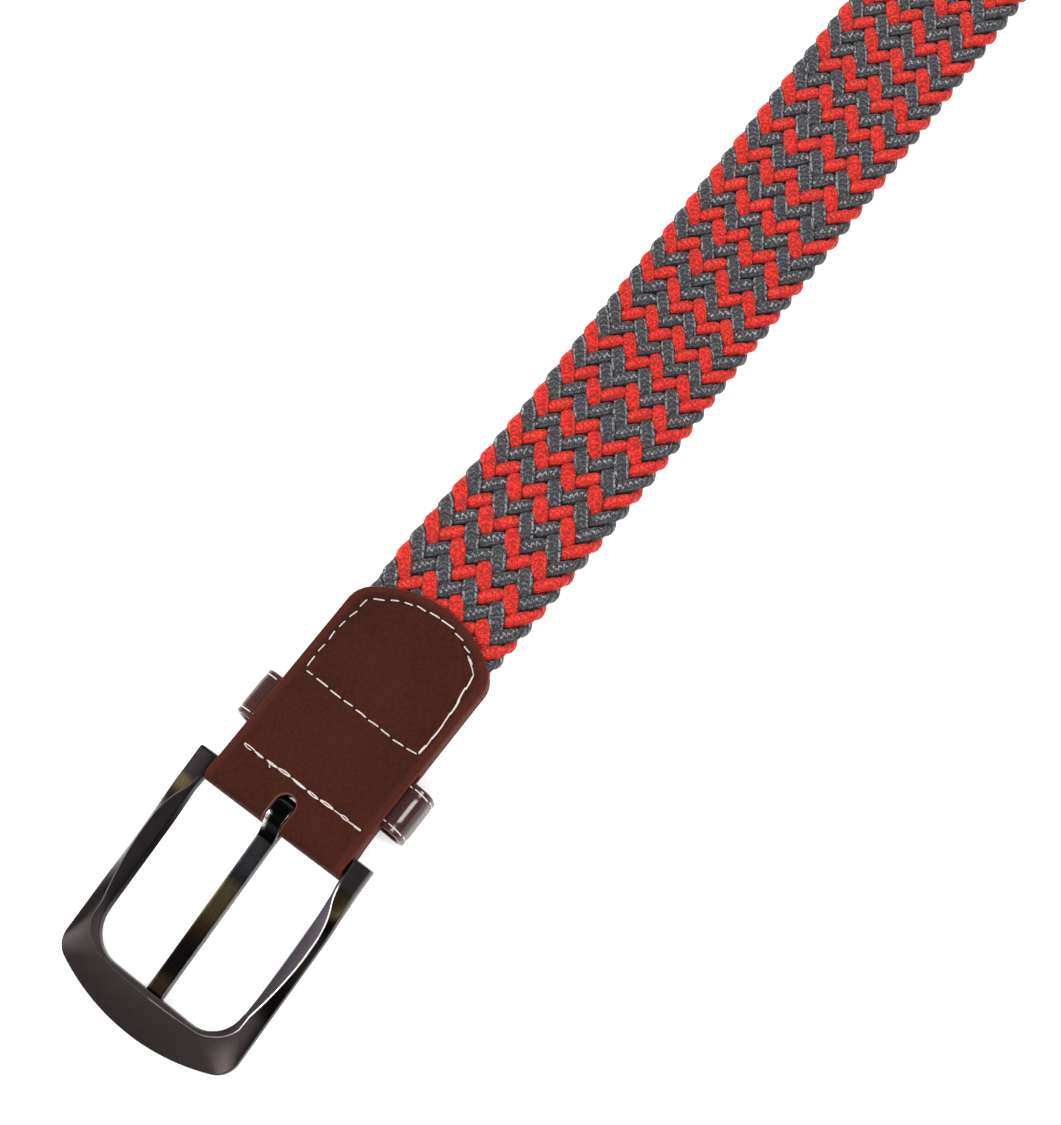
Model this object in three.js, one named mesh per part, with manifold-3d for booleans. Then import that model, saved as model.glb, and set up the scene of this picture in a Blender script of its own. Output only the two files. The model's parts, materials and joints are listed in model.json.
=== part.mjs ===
// Braided belt with a single-prong buckle, lying straight with its back side up.
// Millimetres, +X runs from the buckle to the tip, +Z is up, and the floor is z = 0.
import * as THREE from 'three';
import { mergeVertices } from 'three/addons/utils/BufferGeometryUtils.js';
import Module from 'manifold-3d';

const wasm = await Module();
wasm.setup();

// Strap: a flat plait of seventeen cords, drawn here as its outer form
const TOTAL_LENGTH = 1050;
const BRAID_WIDTH = 32.6;
const BRAID_THICKNESS = 3.4;
const BRAID_SEWN_THICKNESS = 1.3;
const BRAID_MOUTH_THICKNESS = 2.6;
const BRAID_SEWN_WIDTH = 31.8;
const BRAID_TOUCHDOWN = 56;

// Leather tab that holds the buckle; distances along it start at the bar's axis
const LEATHER_WIDTH = 35;
const PLY = 1.35;
const PLY_GAP = 1.7;
const SIDE_WALL = 1.3;
const TAB_LENGTH = 53.4;
const TAB_PITCH = THREE.MathUtils.degToRad(2.1);
const END_ARC_RADIUS = 25;
const END_CORNER_RADIUS = 6;
const MOUTH_FLARE_LENGTH = 12.3;
const MOUTH_LIFT = 0.4;
const MOUTH_DROP = 0.9;
const FOLD_BLEND = 8;
const SLOT_WIDTH = 4.6;
const SLOT_BACK_REACH = 4.5;
const SLOT_FRONT_REACH = 5.6;
const BRAID_START = 26.5;

// Leather tip at the free end, one plain pocket
const TIP_LENGTH = 70;
const TIP_SOLID_END = 12;
const TIP_FLARE_LENGTH = 15;

// Keeper loop, its two ends held between the plies of the tab
const KEEPER = { start: 11.3, width: 10.8, thickness: 1.3, halfSpan: 22.5, corner: 3.25, tuck: 9, drop: 7.7 };

// Buckle
const BAR_HEIGHT = 8.5;
const BAR_RADIUS = 1.25;
const BAR_CLEARANCE = 0.2;
const FRAME_HALF_WIDTH = 22.5;
const FRAME_LENGTH = 51.2;
const FRAME_INNER_LENGTH = 41.9;
const FRAME_INNER_HALF = 17.7;
const FRAME_PITCH = THREE.MathUtils.degToRad(7.4);
const END_BAR_RADIUS = 49;
const OUTER_CORNER = 5;
const INNER_CORNER = 7.5;
const FRAME_CHAMFER = 0.35;
const SEAT_DEPTH = 0.8;
const SEAT_WIDTH = 4.1;
const PRONG_WIDTH = 3.6;
const PRONG_LOOP_RADIUS = 2.75;
const PRONG_REACH = 47.3;

const FIT_GAP = 0.2;
const OVERCUT = 1;
const ARC_STEPS = 10;
const ROUND_SIDES = 24;

const foldRadius = BAR_RADIUS + BAR_CLEARANCE + PLY;
const cavityTop = foldRadius - PLY;
const cavityFloor = cavityTop - PLY_GAP;
const tabUnderside = cavityFloor - PLY;
const tunnelRadius = BAR_RADIUS + BAR_CLEARANCE;
const braidEnd = TOTAL_LENGTH - FRAME_LENGTH - TIP_SOLID_END - 2;
const beltEnd = TOTAL_LENGTH - FRAME_LENGTH;
const tipMouth = beltEnd - TIP_LENGTH;

const smooth = (t) => {
  const u = THREE.MathUtils.clamp(t, 0, 1);
  return u * u * (3 - 2 * u);
};

// A closed three.js geometry as a solid that can be joined and cut
function solidOf(geometry) {
  const bare = geometry.clone();
  bare.deleteAttribute('normal');
  bare.deleteAttribute('uv');
  const merged = mergeVertices(bare, 1e-5);
  const mesh = new wasm.Mesh({
    numProp: 3,
    vertProperties: new Float32Array(merged.attributes.position.array),
    triVerts: new Uint32Array(merged.index.array),
  });
  return new wasm.Manifold(mesh);
}

function geometryOf(solid) {
  const mesh = solid.getMesh();
  const geometry = new THREE.BufferGeometry();
  geometry.setAttribute('position', new THREE.BufferAttribute(new Float32Array(mesh.vertProperties), 3));
  geometry.setIndex(new THREE.BufferAttribute(new Uint32Array(mesh.triVerts), 1));
  geometry.computeVertexNormals();
  return geometry;
}

// A flat shape extruded by depth, its two drawing axes laid along the given directions
function extrude(shape, depth, across, up) {
  const geometry = new THREE.ExtrudeGeometry(shape, { depth, bevelEnabled: false, curveSegments: ARC_STEPS });
  geometry.translate(0, 0, -depth / 2);
  const along = new THREE.Vector3().crossVectors(across, up);
  geometry.applyMatrix4(new THREE.Matrix4().makeBasis(across, up, along));
  return geometry;
}

const X = new THREE.Vector3(1, 0, 0);
const Y = new THREE.Vector3(0, 1, 0);
const Z = new THREE.Vector3(0, 0, 1);
const BACKWARD = new THREE.Vector3(-1, 0, 0);

const sideExtrusion = (shape, width) => extrude(shape, width, X, Z);
const planExtrusion = (shape, height) => extrude(shape, height, X, Y);

function box(x0, x1, width, z0, z1) {
  const geometry = new THREE.BoxGeometry(x1 - x0, width, z1 - z0);
  geometry.translate((x0 + x1) / 2, 0, (z0 + z1) / 2);
  return geometry;
}

function crossCylinder(radius, length) {
  return new THREE.CylinderGeometry(radius, radius, length, ROUND_SIDES);
}

// A closed skin through rings of equal count, with a fan over each end
function loft(rings) {
  const count = rings[0].length;
  const points = rings.flat();
  const faces = [];
  for (let r = 0; r < rings.length - 1; r++) {
    for (let k = 0; k < count; k++) {
      const a = r * count + k;
      const b = r * count + (k + 1) % count;
      faces.push(a, b, a + count, b, b + count, a + count);
    }
  }
  const last = (rings.length - 1) * count;
  for (let k = 1; k < count - 1; k++) {
    faces.push(0, k + 1, k);
    faces.push(last, last + k, last + k + 1);
  }
  const geometry = new THREE.BufferGeometry();
  geometry.setAttribute('position', new THREE.Float32BufferAttribute(points.flatMap((p) => p.toArray()), 3));
  geometry.setIndex(signedVolume(points, faces) < 0 ? faces.reverse() : faces);
  geometry.computeVertexNormals();
  return geometry;
}

function signedVolume(points, faces) {
  let sum = 0;
  for (let i = 0; i < faces.length; i += 3) {
    const normal = new THREE.Vector3().crossVectors(points[faces[i + 1]], points[faces[i + 2]]);
    sum += points[faces[i]].dot(normal);
  }
  return sum / 6;
}

// Plan outline of a leather end: straight sides, small corners and one broad arc
function roundedEndShape(back, length) {
  const half = LEATHER_WIDTH / 2;
  const arcCentre = length - END_ARC_RADIUS;
  const cornerY = half - END_CORNER_RADIUS;
  const reach = END_ARC_RADIUS - END_CORNER_RADIUS;
  const cornerX = arcCentre + Math.sqrt(reach ** 2 - cornerY ** 2);
  const turn = Math.atan2(cornerY, cornerX - arcCentre);
  const shape = new THREE.Shape();
  shape.moveTo(back, -half);
  shape.lineTo(cornerX, -half);
  shape.absarc(cornerX, -cornerY, END_CORNER_RADIUS, -Math.PI / 2, -turn, false);
  shape.absarc(arcCentre, 0, END_ARC_RADIUS, -turn, turn, false);
  shape.absarc(cornerX, cornerY, END_CORNER_RADIUS, turn, Math.PI / 2, false);
  shape.lineTo(back, half);
  return shape;
}

// Half slot with one round end, cut through the fold for the prong
function slotShape(reach) {
  const half = SLOT_WIDTH / 2;
  const shape = new THREE.Shape();
  shape.moveTo(-foldRadius - OVERCUT, -half);
  shape.lineTo(reach - half, -half);
  shape.absarc(reach - half, 0, half, -Math.PI / 2, Math.PI / 2, false);
  shape.lineTo(-foldRadius - OVERCUT, half);
  return shape;
}

// Side view of the folded tab, from the mouth round the bar and back
function tabSideShape() {
  const flare = TAB_LENGTH - MOUTH_FLARE_LENGTH;
  const middle = (flare + TAB_LENGTH) / 2;
  const shape = new THREE.Shape();
  shape.moveTo(TAB_LENGTH, foldRadius + MOUTH_LIFT);
  shape.bezierCurveTo(middle, foldRadius + MOUTH_LIFT, middle, foldRadius, flare, foldRadius);
  shape.lineTo(0, foldRadius);
  shape.absarc(0, 0, foldRadius, Math.PI / 2, Math.PI * 1.5, false);
  shape.bezierCurveTo(FOLD_BLEND / 2, -foldRadius, FOLD_BLEND / 2, tabUnderside, FOLD_BLEND, tabUnderside);
  shape.lineTo(flare, tabUnderside);
  shape.bezierCurveTo(middle, tabUnderside, middle, tabUnderside - MOUTH_DROP, TAB_LENGTH, tabUnderside - MOUTH_DROP);
  return shape;
}

function tabPocketShape() {
  const flare = TAB_LENGTH - MOUTH_FLARE_LENGTH;
  const middle = (flare + TAB_LENGTH) / 2;
  const end = TAB_LENGTH + OVERCUT;
  const top = cavityTop + MOUTH_LIFT;
  const bottom = cavityFloor - MOUTH_DROP;
  const shape = new THREE.Shape();
  shape.moveTo(0, cavityTop);
  shape.lineTo(0, cavityFloor);
  shape.lineTo(flare, cavityFloor);
  shape.bezierCurveTo(middle, cavityFloor, middle, bottom, TAB_LENGTH, bottom);
  shape.lineTo(end, bottom);
  shape.lineTo(end, top);
  shape.lineTo(TAB_LENGTH, top);
  shape.bezierCurveTo(middle, top, middle, cavityTop, flare, cavityTop);
  return shape;
}

function leatherTab() {
  const tall = 4 * foldRadius;
  const pocketWidth = LEATHER_WIDTH - 2 * SIDE_WALL;
  const frontSlot = planExtrusion(slotShape(SLOT_FRONT_REACH), tall);
  frontSlot.translate(0, 0, -tall / 2);
  const keeperEnd = KEEPER.start + KEEPER.width + FIT_GAP;
  const window = box(KEEPER.start - FIT_GAP, keeperEnd, LEATHER_WIDTH + 2, cavityFloor, cavityTop);
  return solidOf(sideExtrusion(tabSideShape(), LEATHER_WIDTH))
    .intersect(solidOf(planExtrusion(roundedEndShape(-foldRadius - OVERCUT, TAB_LENGTH), tall)))
    .subtract(solidOf(sideExtrusion(tabPocketShape(), pocketWidth)))
    .subtract(solidOf(crossCylinder(tunnelRadius, LEATHER_WIDTH + 2)))
    .subtract(solidOf(window))
    .subtract(solidOf(planExtrusion(slotShape(SLOT_BACK_REACH), tall)))
    .subtract(solidOf(frontSlot));
}

// Side view of the tip: flat underneath, its top lifted over the braid at the mouth
function leatherTip() {
  const base = 2 * PLY + PLY_GAP;
  const lift = BRAID_MOUTH_THICKNESS + 2 * FIT_GAP - PLY_GAP;
  const middle = TIP_FLARE_LENGTH / 2;
  const outer = new THREE.Shape();
  outer.moveTo(0, 0);
  outer.lineTo(TIP_LENGTH, 0);
  outer.lineTo(TIP_LENGTH, base);
  outer.lineTo(TIP_FLARE_LENGTH, base);
  outer.bezierCurveTo(middle, base, middle, base + lift, 0, base + lift);
  const pocket = new THREE.Shape();
  pocket.moveTo(-OVERCUT, PLY);
  pocket.lineTo(TIP_LENGTH - TIP_SOLID_END, PLY);
  pocket.lineTo(TIP_LENGTH - TIP_SOLID_END, PLY + PLY_GAP);
  pocket.lineTo(TIP_FLARE_LENGTH, PLY + PLY_GAP);
  pocket.bezierCurveTo(middle, PLY + PLY_GAP, middle, PLY + PLY_GAP + lift, 0, PLY + PLY_GAP + lift);
  pocket.lineTo(-OVERCUT, PLY + PLY_GAP + lift);
  return solidOf(sideExtrusion(outer, LEATHER_WIDTH))
    .intersect(solidOf(planExtrusion(roundedEndShape(-OVERCUT, TIP_LENGTH), 4 * base)))
    .subtract(solidOf(sideExtrusion(pocket, LEATHER_WIDTH - 2 * SIDE_WALL)));
}

// Keeper strip seen along the belt: tucked end, side, bottom run, side, tucked end
function keeperLoop() {
  const { halfSpan, corner, thickness, tuck, drop, start, width } = KEEPER;
  const top = (cavityTop + cavityFloor + thickness) / 2;
  const bottom = -drop;
  const bendY = halfSpan - corner;
  const tuckY = LEATHER_WIDTH / 2 - tuck;
  const outer = corner;
  const inner = corner - thickness;
  const quarter = Math.PI / 2;
  const shape = new THREE.Shape();
  shape.moveTo(tuckY, top);
  shape.lineTo(bendY, top);
  shape.absarc(bendY, top - corner, outer, quarter, 0, true);
  shape.absarc(bendY, bottom + corner, outer, 0, -quarter, true);
  shape.absarc(-bendY, bottom + corner, outer, -quarter, -2 * quarter, true);
  shape.absarc(-bendY, top - corner, outer, 2 * quarter, quarter, true);
  shape.lineTo(-tuckY, top);
  shape.lineTo(-tuckY, top - thickness);
  shape.absarc(-bendY, top - corner, inner, quarter, 2 * quarter, false);
  shape.absarc(-bendY, bottom + corner, inner, 2 * quarter, 3 * quarter, false);
  shape.absarc(bendY, bottom + corner, inner, -quarter, 0, false);
  shape.absarc(bendY, top - corner, inner, 0, quarter, false);
  shape.lineTo(tuckY, top - thickness);
  const geometry = extrude(shape, width, Y, Z);
  geometry.translate(start + width / 2, 0, 0);
  return geometry;
}

// Height of the braid's middle at a distance from the bar, over tab, drop, floor and tip
function braidHeight(at) {
  const inTab = BAR_HEIGHT + (cavityTop + cavityFloor) / 2 - Math.sin(TAB_PITCH) * at;
  const mouthSag = (MOUTH_DROP - MOUTH_LIFT) / 2 * smooth((at - TAB_LENGTH + MOUTH_FLARE_LENGTH) / MOUTH_FLARE_LENGTH);
  const onFloor = BRAID_THICKNESS / 2;
  const inMouth = PLY + FIT_GAP + BRAID_MOUTH_THICKNESS / 2;
  const inTip = PLY + PLY_GAP / 2;
  if (at < tipMouth - TIP_FLARE_LENGTH * 2) {
    return THREE.MathUtils.lerp(inTab - mouthSag, onFloor, smooth((at - TAB_LENGTH) / BRAID_TOUCHDOWN));
  }
  if (at < tipMouth) return THREE.MathUtils.lerp(onFloor, inMouth, smooth(1 + (at - tipMouth) / (TIP_FLARE_LENGTH * 2)));
  return THREE.MathUtils.lerp(inMouth, inTip, smooth((at - tipMouth) / TIP_FLARE_LENGTH));
}

// Stations of the plait: distance from the bar, thickness and width
const BRAID_STATIONS = [
  { at: BRAID_START, thickness: BRAID_SEWN_THICKNESS, width: BRAID_SEWN_WIDTH },
  { at: TAB_LENGTH - MOUTH_FLARE_LENGTH, thickness: BRAID_SEWN_THICKNESS, width: BRAID_SEWN_WIDTH },
  { at: TAB_LENGTH - MOUTH_FLARE_LENGTH / 2, thickness: 1.9, width: BRAID_SEWN_WIDTH },
  { at: TAB_LENGTH, thickness: BRAID_MOUTH_THICKNESS, width: BRAID_WIDTH },
  { at: TAB_LENGTH + 6, thickness: BRAID_THICKNESS, width: BRAID_WIDTH },
  ...Array.from({ length: 10 }, (_, k) => ({
    at: TAB_LENGTH + 6 + (k + 1) * (BRAID_TOUCHDOWN - 6) / 10, thickness: BRAID_THICKNESS, width: BRAID_WIDTH,
  })),
  ...Array.from({ length: 7 }, (_, k) => ({
    at: tipMouth - TIP_FLARE_LENGTH * (2 - k / 4), thickness: BRAID_THICKNESS, width: BRAID_WIDTH,
  })),
  { at: tipMouth - 3, thickness: 3, width: BRAID_SEWN_WIDTH },
  { at: tipMouth, thickness: BRAID_MOUTH_THICKNESS, width: BRAID_SEWN_WIDTH },
  { at: tipMouth + TIP_FLARE_LENGTH / 2, thickness: 1.9, width: BRAID_SEWN_WIDTH },
  { at: tipMouth + TIP_FLARE_LENGTH, thickness: BRAID_SEWN_THICKNESS, width: BRAID_SEWN_WIDTH },
  { at: braidEnd, thickness: BRAID_SEWN_THICKNESS, width: BRAID_SEWN_WIDTH },
];

// Half-round edges and flat faces, as the plait's cords turn back at each side
function braidRing({ at, thickness, width }) {
  const steps = 6;
  const radius = thickness / 2;
  const ring = [];
  for (const side of [1, -1]) {
    for (let k = 0; k <= steps; k++) {
      const angle = Math.PI * (k / steps - 0.5);
      const y = side * (width / 2 - radius + radius * Math.cos(angle));
      ring.push(new THREE.Vector3(at, y, braidHeight(at) + side * radius * Math.sin(angle)));
    }
  }
  return ring;
}

const braidBand = () => loft(BRAID_STATIONS.map(braidRing));

// Where the frame's parts run: a is the distance from the bar towards the end bar
const FRAME_STUB = 2.5;
const RAIL_HALF_HEIGHT = 1.6;

// Rail rows: distance, half widths of the base, lean of the inner side, ridge place from
// inner edge 0 to outer edge 1, and top heights
const RAIL_ROWS = [
  { a: -FRAME_STUB, inner: 18.1, outer: 22.1, lean: 0, ridge: 0.12, innerTop: 1.55, ridgeTop: 1.6, outerTop: 1.5 },
  { a: 3.2, inner: 18.1, outer: 22.1, lean: 0, ridge: 0.14, innerTop: 1.5, ridgeTop: 1.65, outerTop: 1.5 },
  { a: 6, inner: 18, outer: 22.2, lean: 0.1, ridge: 0.24, innerTop: 1.25, ridgeTop: 1.7, outerTop: 1.3 },
  { a: 8.5, inner: 17.9, outer: 22.3, lean: 0.3, ridge: 0.5, innerTop: 0.95, ridgeTop: 1.8, outerTop: 0.9 },
  { a: 11, inner: 17.8, outer: 22.4, lean: 0.5, ridge: 0.66, innerTop: 0.7, ridgeTop: 1.85, outerTop: 0.4 },
  { a: 14, inner: FRAME_INNER_HALF, outer: FRAME_HALF_WIDTH, lean: 0.65, ridge: 0.75, innerTop: 0.45, ridgeTop: 1.9, outerTop: -0.1 },
  { a: 19, inner: FRAME_INNER_HALF, outer: FRAME_HALF_WIDTH, lean: 0.7, ridge: 0.76, innerTop: 0.35, ridgeTop: 1.9, outerTop: -0.4 },
  { a: 25, inner: FRAME_INNER_HALF, outer: FRAME_HALF_WIDTH, lean: 0.6, ridge: 0.66, innerTop: 0.4, ridgeTop: 1.85, outerTop: -0.3 },
  { a: 29, inner: FRAME_INNER_HALF, outer: FRAME_HALF_WIDTH, lean: 0.5, ridge: 0.53, innerTop: 0.5, ridgeTop: 1.8, outerTop: 0 },
];

// Corner rows carry the ridge back to the inner edge, end rows run along the end bar
const CORNER_ROWS = [
  { turn: 0, lean: 0.3, ridge: 0.3, innerTop: 0.9, ridgeTop: 1.75, outerTop: 0.1 },
  { turn: 0.2, lean: 0.2, ridge: 0.23, innerTop: 1.1, ridgeTop: 1.75, outerTop: 0.2 },
  { turn: 0.4, lean: 0.1, ridge: 0.18, innerTop: 1.2, ridgeTop: 1.7, outerTop: 0.3 },
  { turn: 0.6, lean: 0, ridge: 0.14, innerTop: 1.25, ridgeTop: 1.65, outerTop: 0.35 },
  { turn: 0.8, lean: 0, ridge: 0.13, innerTop: 1.25, ridgeTop: 1.6, outerTop: 0.4 },
];
const END_ROW = { lean: 0, ridge: 0.12, innerTop: 1.25, ridgeTop: 1.6, outerTop: 0.4 };
const END_STEPS = 5;

const outerArcCentre = FRAME_LENGTH - END_BAR_RADIUS;
const outerCornerY = FRAME_HALF_WIDTH - OUTER_CORNER;
const outerCornerA = outerArcCentre + Math.sqrt((END_BAR_RADIUS - OUTER_CORNER) ** 2 - outerCornerY ** 2);
const outerCornerTurn = Math.PI / 2 - Math.atan2(outerCornerY, outerCornerA - outerArcCentre);
const innerCornerA = FRAME_INNER_LENGTH - INNER_CORNER;
const innerCornerY = FRAME_INNER_HALF - INNER_CORNER;

// Plan points of the inner and outer edge at each row, on the +Y half
function frameHalfStations() {
  const rows = RAIL_ROWS.map((row) => ({
    ...row, in: [row.a, row.inner], out: [row.a, row.outer],
  }));
  for (const row of CORNER_ROWS) {
    const innerAngle = row.turn * Math.PI / 2;
    const outerAngle = row.turn * outerCornerTurn;
    rows.push({
      ...row,
      in: [innerCornerA + INNER_CORNER * Math.sin(innerAngle), innerCornerY + INNER_CORNER * Math.cos(innerAngle)],
      out: [outerCornerA + OUTER_CORNER * Math.sin(outerAngle), outerCornerY + OUTER_CORNER * Math.cos(outerAngle)],
    });
  }
  const endSpread = Math.atan2(outerCornerY, outerCornerA - outerArcCentre);
  for (let k = 0; k <= END_STEPS; k++) {
    const share = 1 - k / END_STEPS;
    const angle = share * endSpread;
    rows.push({
      ...END_ROW,
      in: [FRAME_INNER_LENGTH, innerCornerY * share],
      out: [outerArcCentre + END_BAR_RADIUS * Math.cos(angle), END_BAR_RADIUS * Math.sin(angle)],
    });
  }
  return rows;
}

// Cross-section from the inner edge to the outer: chamfered below, one ridge on top
function frameRing(row, side) {
  const from = new THREE.Vector2(...row.in);
  const across = new THREE.Vector2(...row.out).sub(from);
  const width = across.length();
  across.normalize();
  const bottom = -RAIL_HALF_HEIGHT + 0.3 * smooth((row.in[0] - innerCornerA) / INNER_CORNER);
  const profile = [
    [0, bottom + FRAME_CHAMFER], [FRAME_CHAMFER, bottom], [width - FRAME_CHAMFER, bottom],
    [width, bottom + FRAME_CHAMFER], [width, row.outerTop], [row.ridge * width, row.ridgeTop],
    [row.lean, row.innerTop],
  ];
  return profile.map(([u, z]) => {
    const place = from.clone().addScaledVector(across, u);
    return new THREE.Vector3(-place.x, side * place.y, z);
  });
}

function buckleFrame() {
  const half = frameHalfStations();
  const rings = half.map((row) => frameRing(row, 1));
  const mirrored = half.slice(0, -1).reverse().map((row) => frameRing(row, -1));
  const seatFloor = -RAIL_HALF_HEIGHT + 0.3 + SEAT_DEPTH;
  const seat = box(-FRAME_LENGTH - OVERCUT, -FRAME_INNER_LENGTH + 2 * OVERCUT, SEAT_WIDTH, -10, seatFloor);
  return solidOf(loft([...rings, ...mirrored]))
    .add(solidOf(crossCylinder(BAR_RADIUS, 2 * FRAME_HALF_WIDTH - 3)))
    .subtract(solidOf(seat));
}

// Prong seen from the side: a closed curl round the bar and a straight shank
function prong() {
  const topZ = -0.35;
  const bottomZ = -2.2;
  const tipTop = -0.65;
  const tipBottom = -2.45;
  const r = PRONG_LOOP_RADIUS;
  const shape = new THREE.Shape();
  shape.absarc(0, 0, r, Math.asin(topZ / r), 2 * Math.PI + Math.asin(bottomZ / r), false);
  shape.lineTo(PRONG_REACH - 1.2, tipBottom);
  shape.quadraticCurveTo(PRONG_REACH, tipBottom, PRONG_REACH, (tipTop + tipBottom) / 2);
  shape.quadraticCurveTo(PRONG_REACH, tipTop, PRONG_REACH - 1, tipTop);
  const eye = new THREE.Path();
  eye.absarc(0, 0, tunnelRadius, 0, 2 * Math.PI, true);
  shape.holes.push(eye);
  return extrude(shape, PRONG_WIDTH, BACKWARD, Z);
}

const leather = new THREE.MeshStandardMaterial({ color: 0x4b241c, roughness: 0.55, metalness: 0 });
const keeperLeather = new THREE.MeshStandardMaterial({ color: 0x3e2019, roughness: 0.35, metalness: 0 });
const cord = new THREE.MeshStandardMaterial({ color: 0x9a3a34, roughness: 0.85, metalness: 0 });
const gunmetal = new THREE.MeshStandardMaterial({ color: 0x37302f, roughness: 0.3, metalness: 1 });

function mesh(name, geometry, material) {
  const piece = new THREE.Mesh(geometry, material);
  piece.name = name;
  return piece;
}

const tabGroup = new THREE.Group();
tabGroup.position.z = BAR_HEIGHT;
tabGroup.rotation.y = TAB_PITCH;
tabGroup.add(mesh('leather_tab', geometryOf(leatherTab()), leather));
tabGroup.add(mesh('keeper_loop', keeperLoop(), keeperLeather));

const buckleGroup = new THREE.Group();
buckleGroup.position.z = BAR_HEIGHT;
buckleGroup.rotation.y = -FRAME_PITCH;
buckleGroup.add(mesh('buckle_frame', geometryOf(buckleFrame()), gunmetal));
buckleGroup.add(mesh('prong', prong(), gunmetal));

const tip = mesh('leather_tip', geometryOf(leatherTip()), leather);
tip.position.x = tipMouth;

const belt = new THREE.Group();
belt.add(tabGroup, buckleGroup, tip, mesh('braid_band', braidBand(), cord));

// The origin is the middle of the belt's footprint on the floor
belt.updateMatrixWorld(true);
const extent = new THREE.Box3().setFromObject(belt, true);
belt.position.set(-(extent.min.x + extent.max.x) / 2, -(extent.min.y + extent.max.y) / 2, -extent.min.z);

export default belt;
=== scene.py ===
"""Looks of the braided belt: plaited cords, folded leather tab, keeper, prong buckle and leather tip.

Lengths are in millimetres until a mesh is made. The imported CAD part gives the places.
"""

import json
import logging
import math
from collections.abc import Callable
from dataclasses import dataclass, field
from enum import Enum

import bpy
import numpy as np
from mathutils import Matrix, Vector
from mathutils.geometry import delaunay_2d_cdt

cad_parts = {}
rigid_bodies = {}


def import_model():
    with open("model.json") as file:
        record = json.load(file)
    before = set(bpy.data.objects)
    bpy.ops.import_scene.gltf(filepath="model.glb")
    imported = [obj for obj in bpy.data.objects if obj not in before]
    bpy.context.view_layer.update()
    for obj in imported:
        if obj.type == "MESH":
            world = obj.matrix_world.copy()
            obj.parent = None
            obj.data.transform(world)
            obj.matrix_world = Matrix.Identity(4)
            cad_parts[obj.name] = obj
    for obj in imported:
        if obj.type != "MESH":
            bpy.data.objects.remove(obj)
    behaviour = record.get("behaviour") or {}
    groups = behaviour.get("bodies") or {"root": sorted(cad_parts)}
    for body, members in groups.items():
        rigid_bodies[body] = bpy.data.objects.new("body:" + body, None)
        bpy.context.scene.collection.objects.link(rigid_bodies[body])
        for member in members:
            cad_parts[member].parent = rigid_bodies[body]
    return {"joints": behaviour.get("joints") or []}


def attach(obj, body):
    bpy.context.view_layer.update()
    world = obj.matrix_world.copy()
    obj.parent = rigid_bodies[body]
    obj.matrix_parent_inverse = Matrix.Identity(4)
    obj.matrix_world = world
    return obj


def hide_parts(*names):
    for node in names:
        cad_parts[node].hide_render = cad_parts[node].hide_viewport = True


for leftover in list(bpy.data.objects):
    bpy.data.objects.remove(leftover)
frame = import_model()

logging.basicConfig(level=logging.INFO, format="%(message)s")
log = logging.getLogger("belt")

MM = 0.001
TAU = 2 * math.pi
FAR = 99.0
TEXTURE_SCALE = 0.1
RNG = np.random.default_rng(17)

# Places that the CAD part shares
BAR = np.array(frame["joints"][0]["pos_m"]) / MM
BAR_HEIGHT = 8.5
BAR_RADIUS = 1.25
FLOOR_LIFT = BAR[2] - BAR_HEIGHT
TAB_PITCH = math.radians(2.1)
FRAME_PITCH = math.radians(7.4)
LEATHER_WIDTH = 35.0
HALF_LEATHER = LEATHER_WIDTH / 2
PLY = 1.35
PLY_GAP = 1.7
FOLD_RADIUS = 2.8
CAVITY_TOP = FOLD_RADIUS - PLY
CAVITY_FLOOR = CAVITY_TOP - PLY_GAP
END_ARC_RADIUS = 25.0
END_CORNER_RADIUS = 6.0
TAB_LENGTH = 53.4
TAB_FLARE = 41.1
TIP_LENGTH = 70.0
TIP_MOUTH = 928.8

Array = np.ndarray
Socket = bpy.types.NodeSocket
Value = Socket | float | tuple
Profile = Callable[[Array, Array], tuple[Array, Array]]
Place = Callable[[Array, Array, Array], Array]
Height = Callable[[Array], Array]


class Body(str, Enum):
    """Moving bodies of the CAD part."""

    STRAP = "strap"
    FRAME = "frame"
    PRONG = "prong"


# Places and lines

def smooth(t: Array) -> Array:
    """Eases from 0 to 1 with level ends."""
    u = np.clip(t, 0.0, 1.0)
    return u * u * (3 - 2 * u)


def unit(v: Array) -> Array:
    """Vectors at length one."""
    return v / np.maximum(np.linalg.norm(v, axis=-1, keepdims=True), 1e-9)


def run_length(line: Array) -> Array:
    """Distance of each point of a line from its start."""
    return np.concatenate([[0], np.cumsum(np.linalg.norm(np.diff(line, axis=0), axis=1))])


def circle(count: int) -> tuple[Array, Array]:
    """Cosines and sines of evenly spaced angles."""
    theta = np.arange(count) / count * TAU
    return np.cos(theta), np.sin(theta)


def pitched(x: Array, y: Array, z: Array, pitch: float) -> Array:
    """Places points given from the bar's axis into the part's frame.

    Args:
        x: distance along the belt, away from the buckle's end.
        y: distance across.
        z: height over the axis.
        pitch: turn about the bar, positive lowers the belt's side.

    Returns:
        Points in millimetres in the part's frame.
    """
    x, y, z = np.broadcast_arrays(np.asarray(x, float), y, z)
    c, s = math.cos(pitch), math.sin(pitch)
    return np.stack([x * c + z * s, y, z * c - x * s], -1) + BAR


def on_tab(x: Array, y: Array, z: Array) -> Array:
    """Places a point of the leather tab."""
    return pitched(x, y, z, TAB_PITCH)


def on_buckle(a: Array, y: Array, z: Array) -> Array:
    """Places a point of the buckle, a being the distance towards its end bar."""
    return pitched(-np.asarray(a, float), y, z, -FRAME_PITCH)


def along_belt(x: Array, y: Array, z: Array) -> Array:
    """Places a point by its distance from the bar along the belt and its height over the floor."""
    x, y, z = np.broadcast_arrays(np.asarray(x, float), y, z)
    return np.stack([x + BAR[0], y, z], -1)


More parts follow.
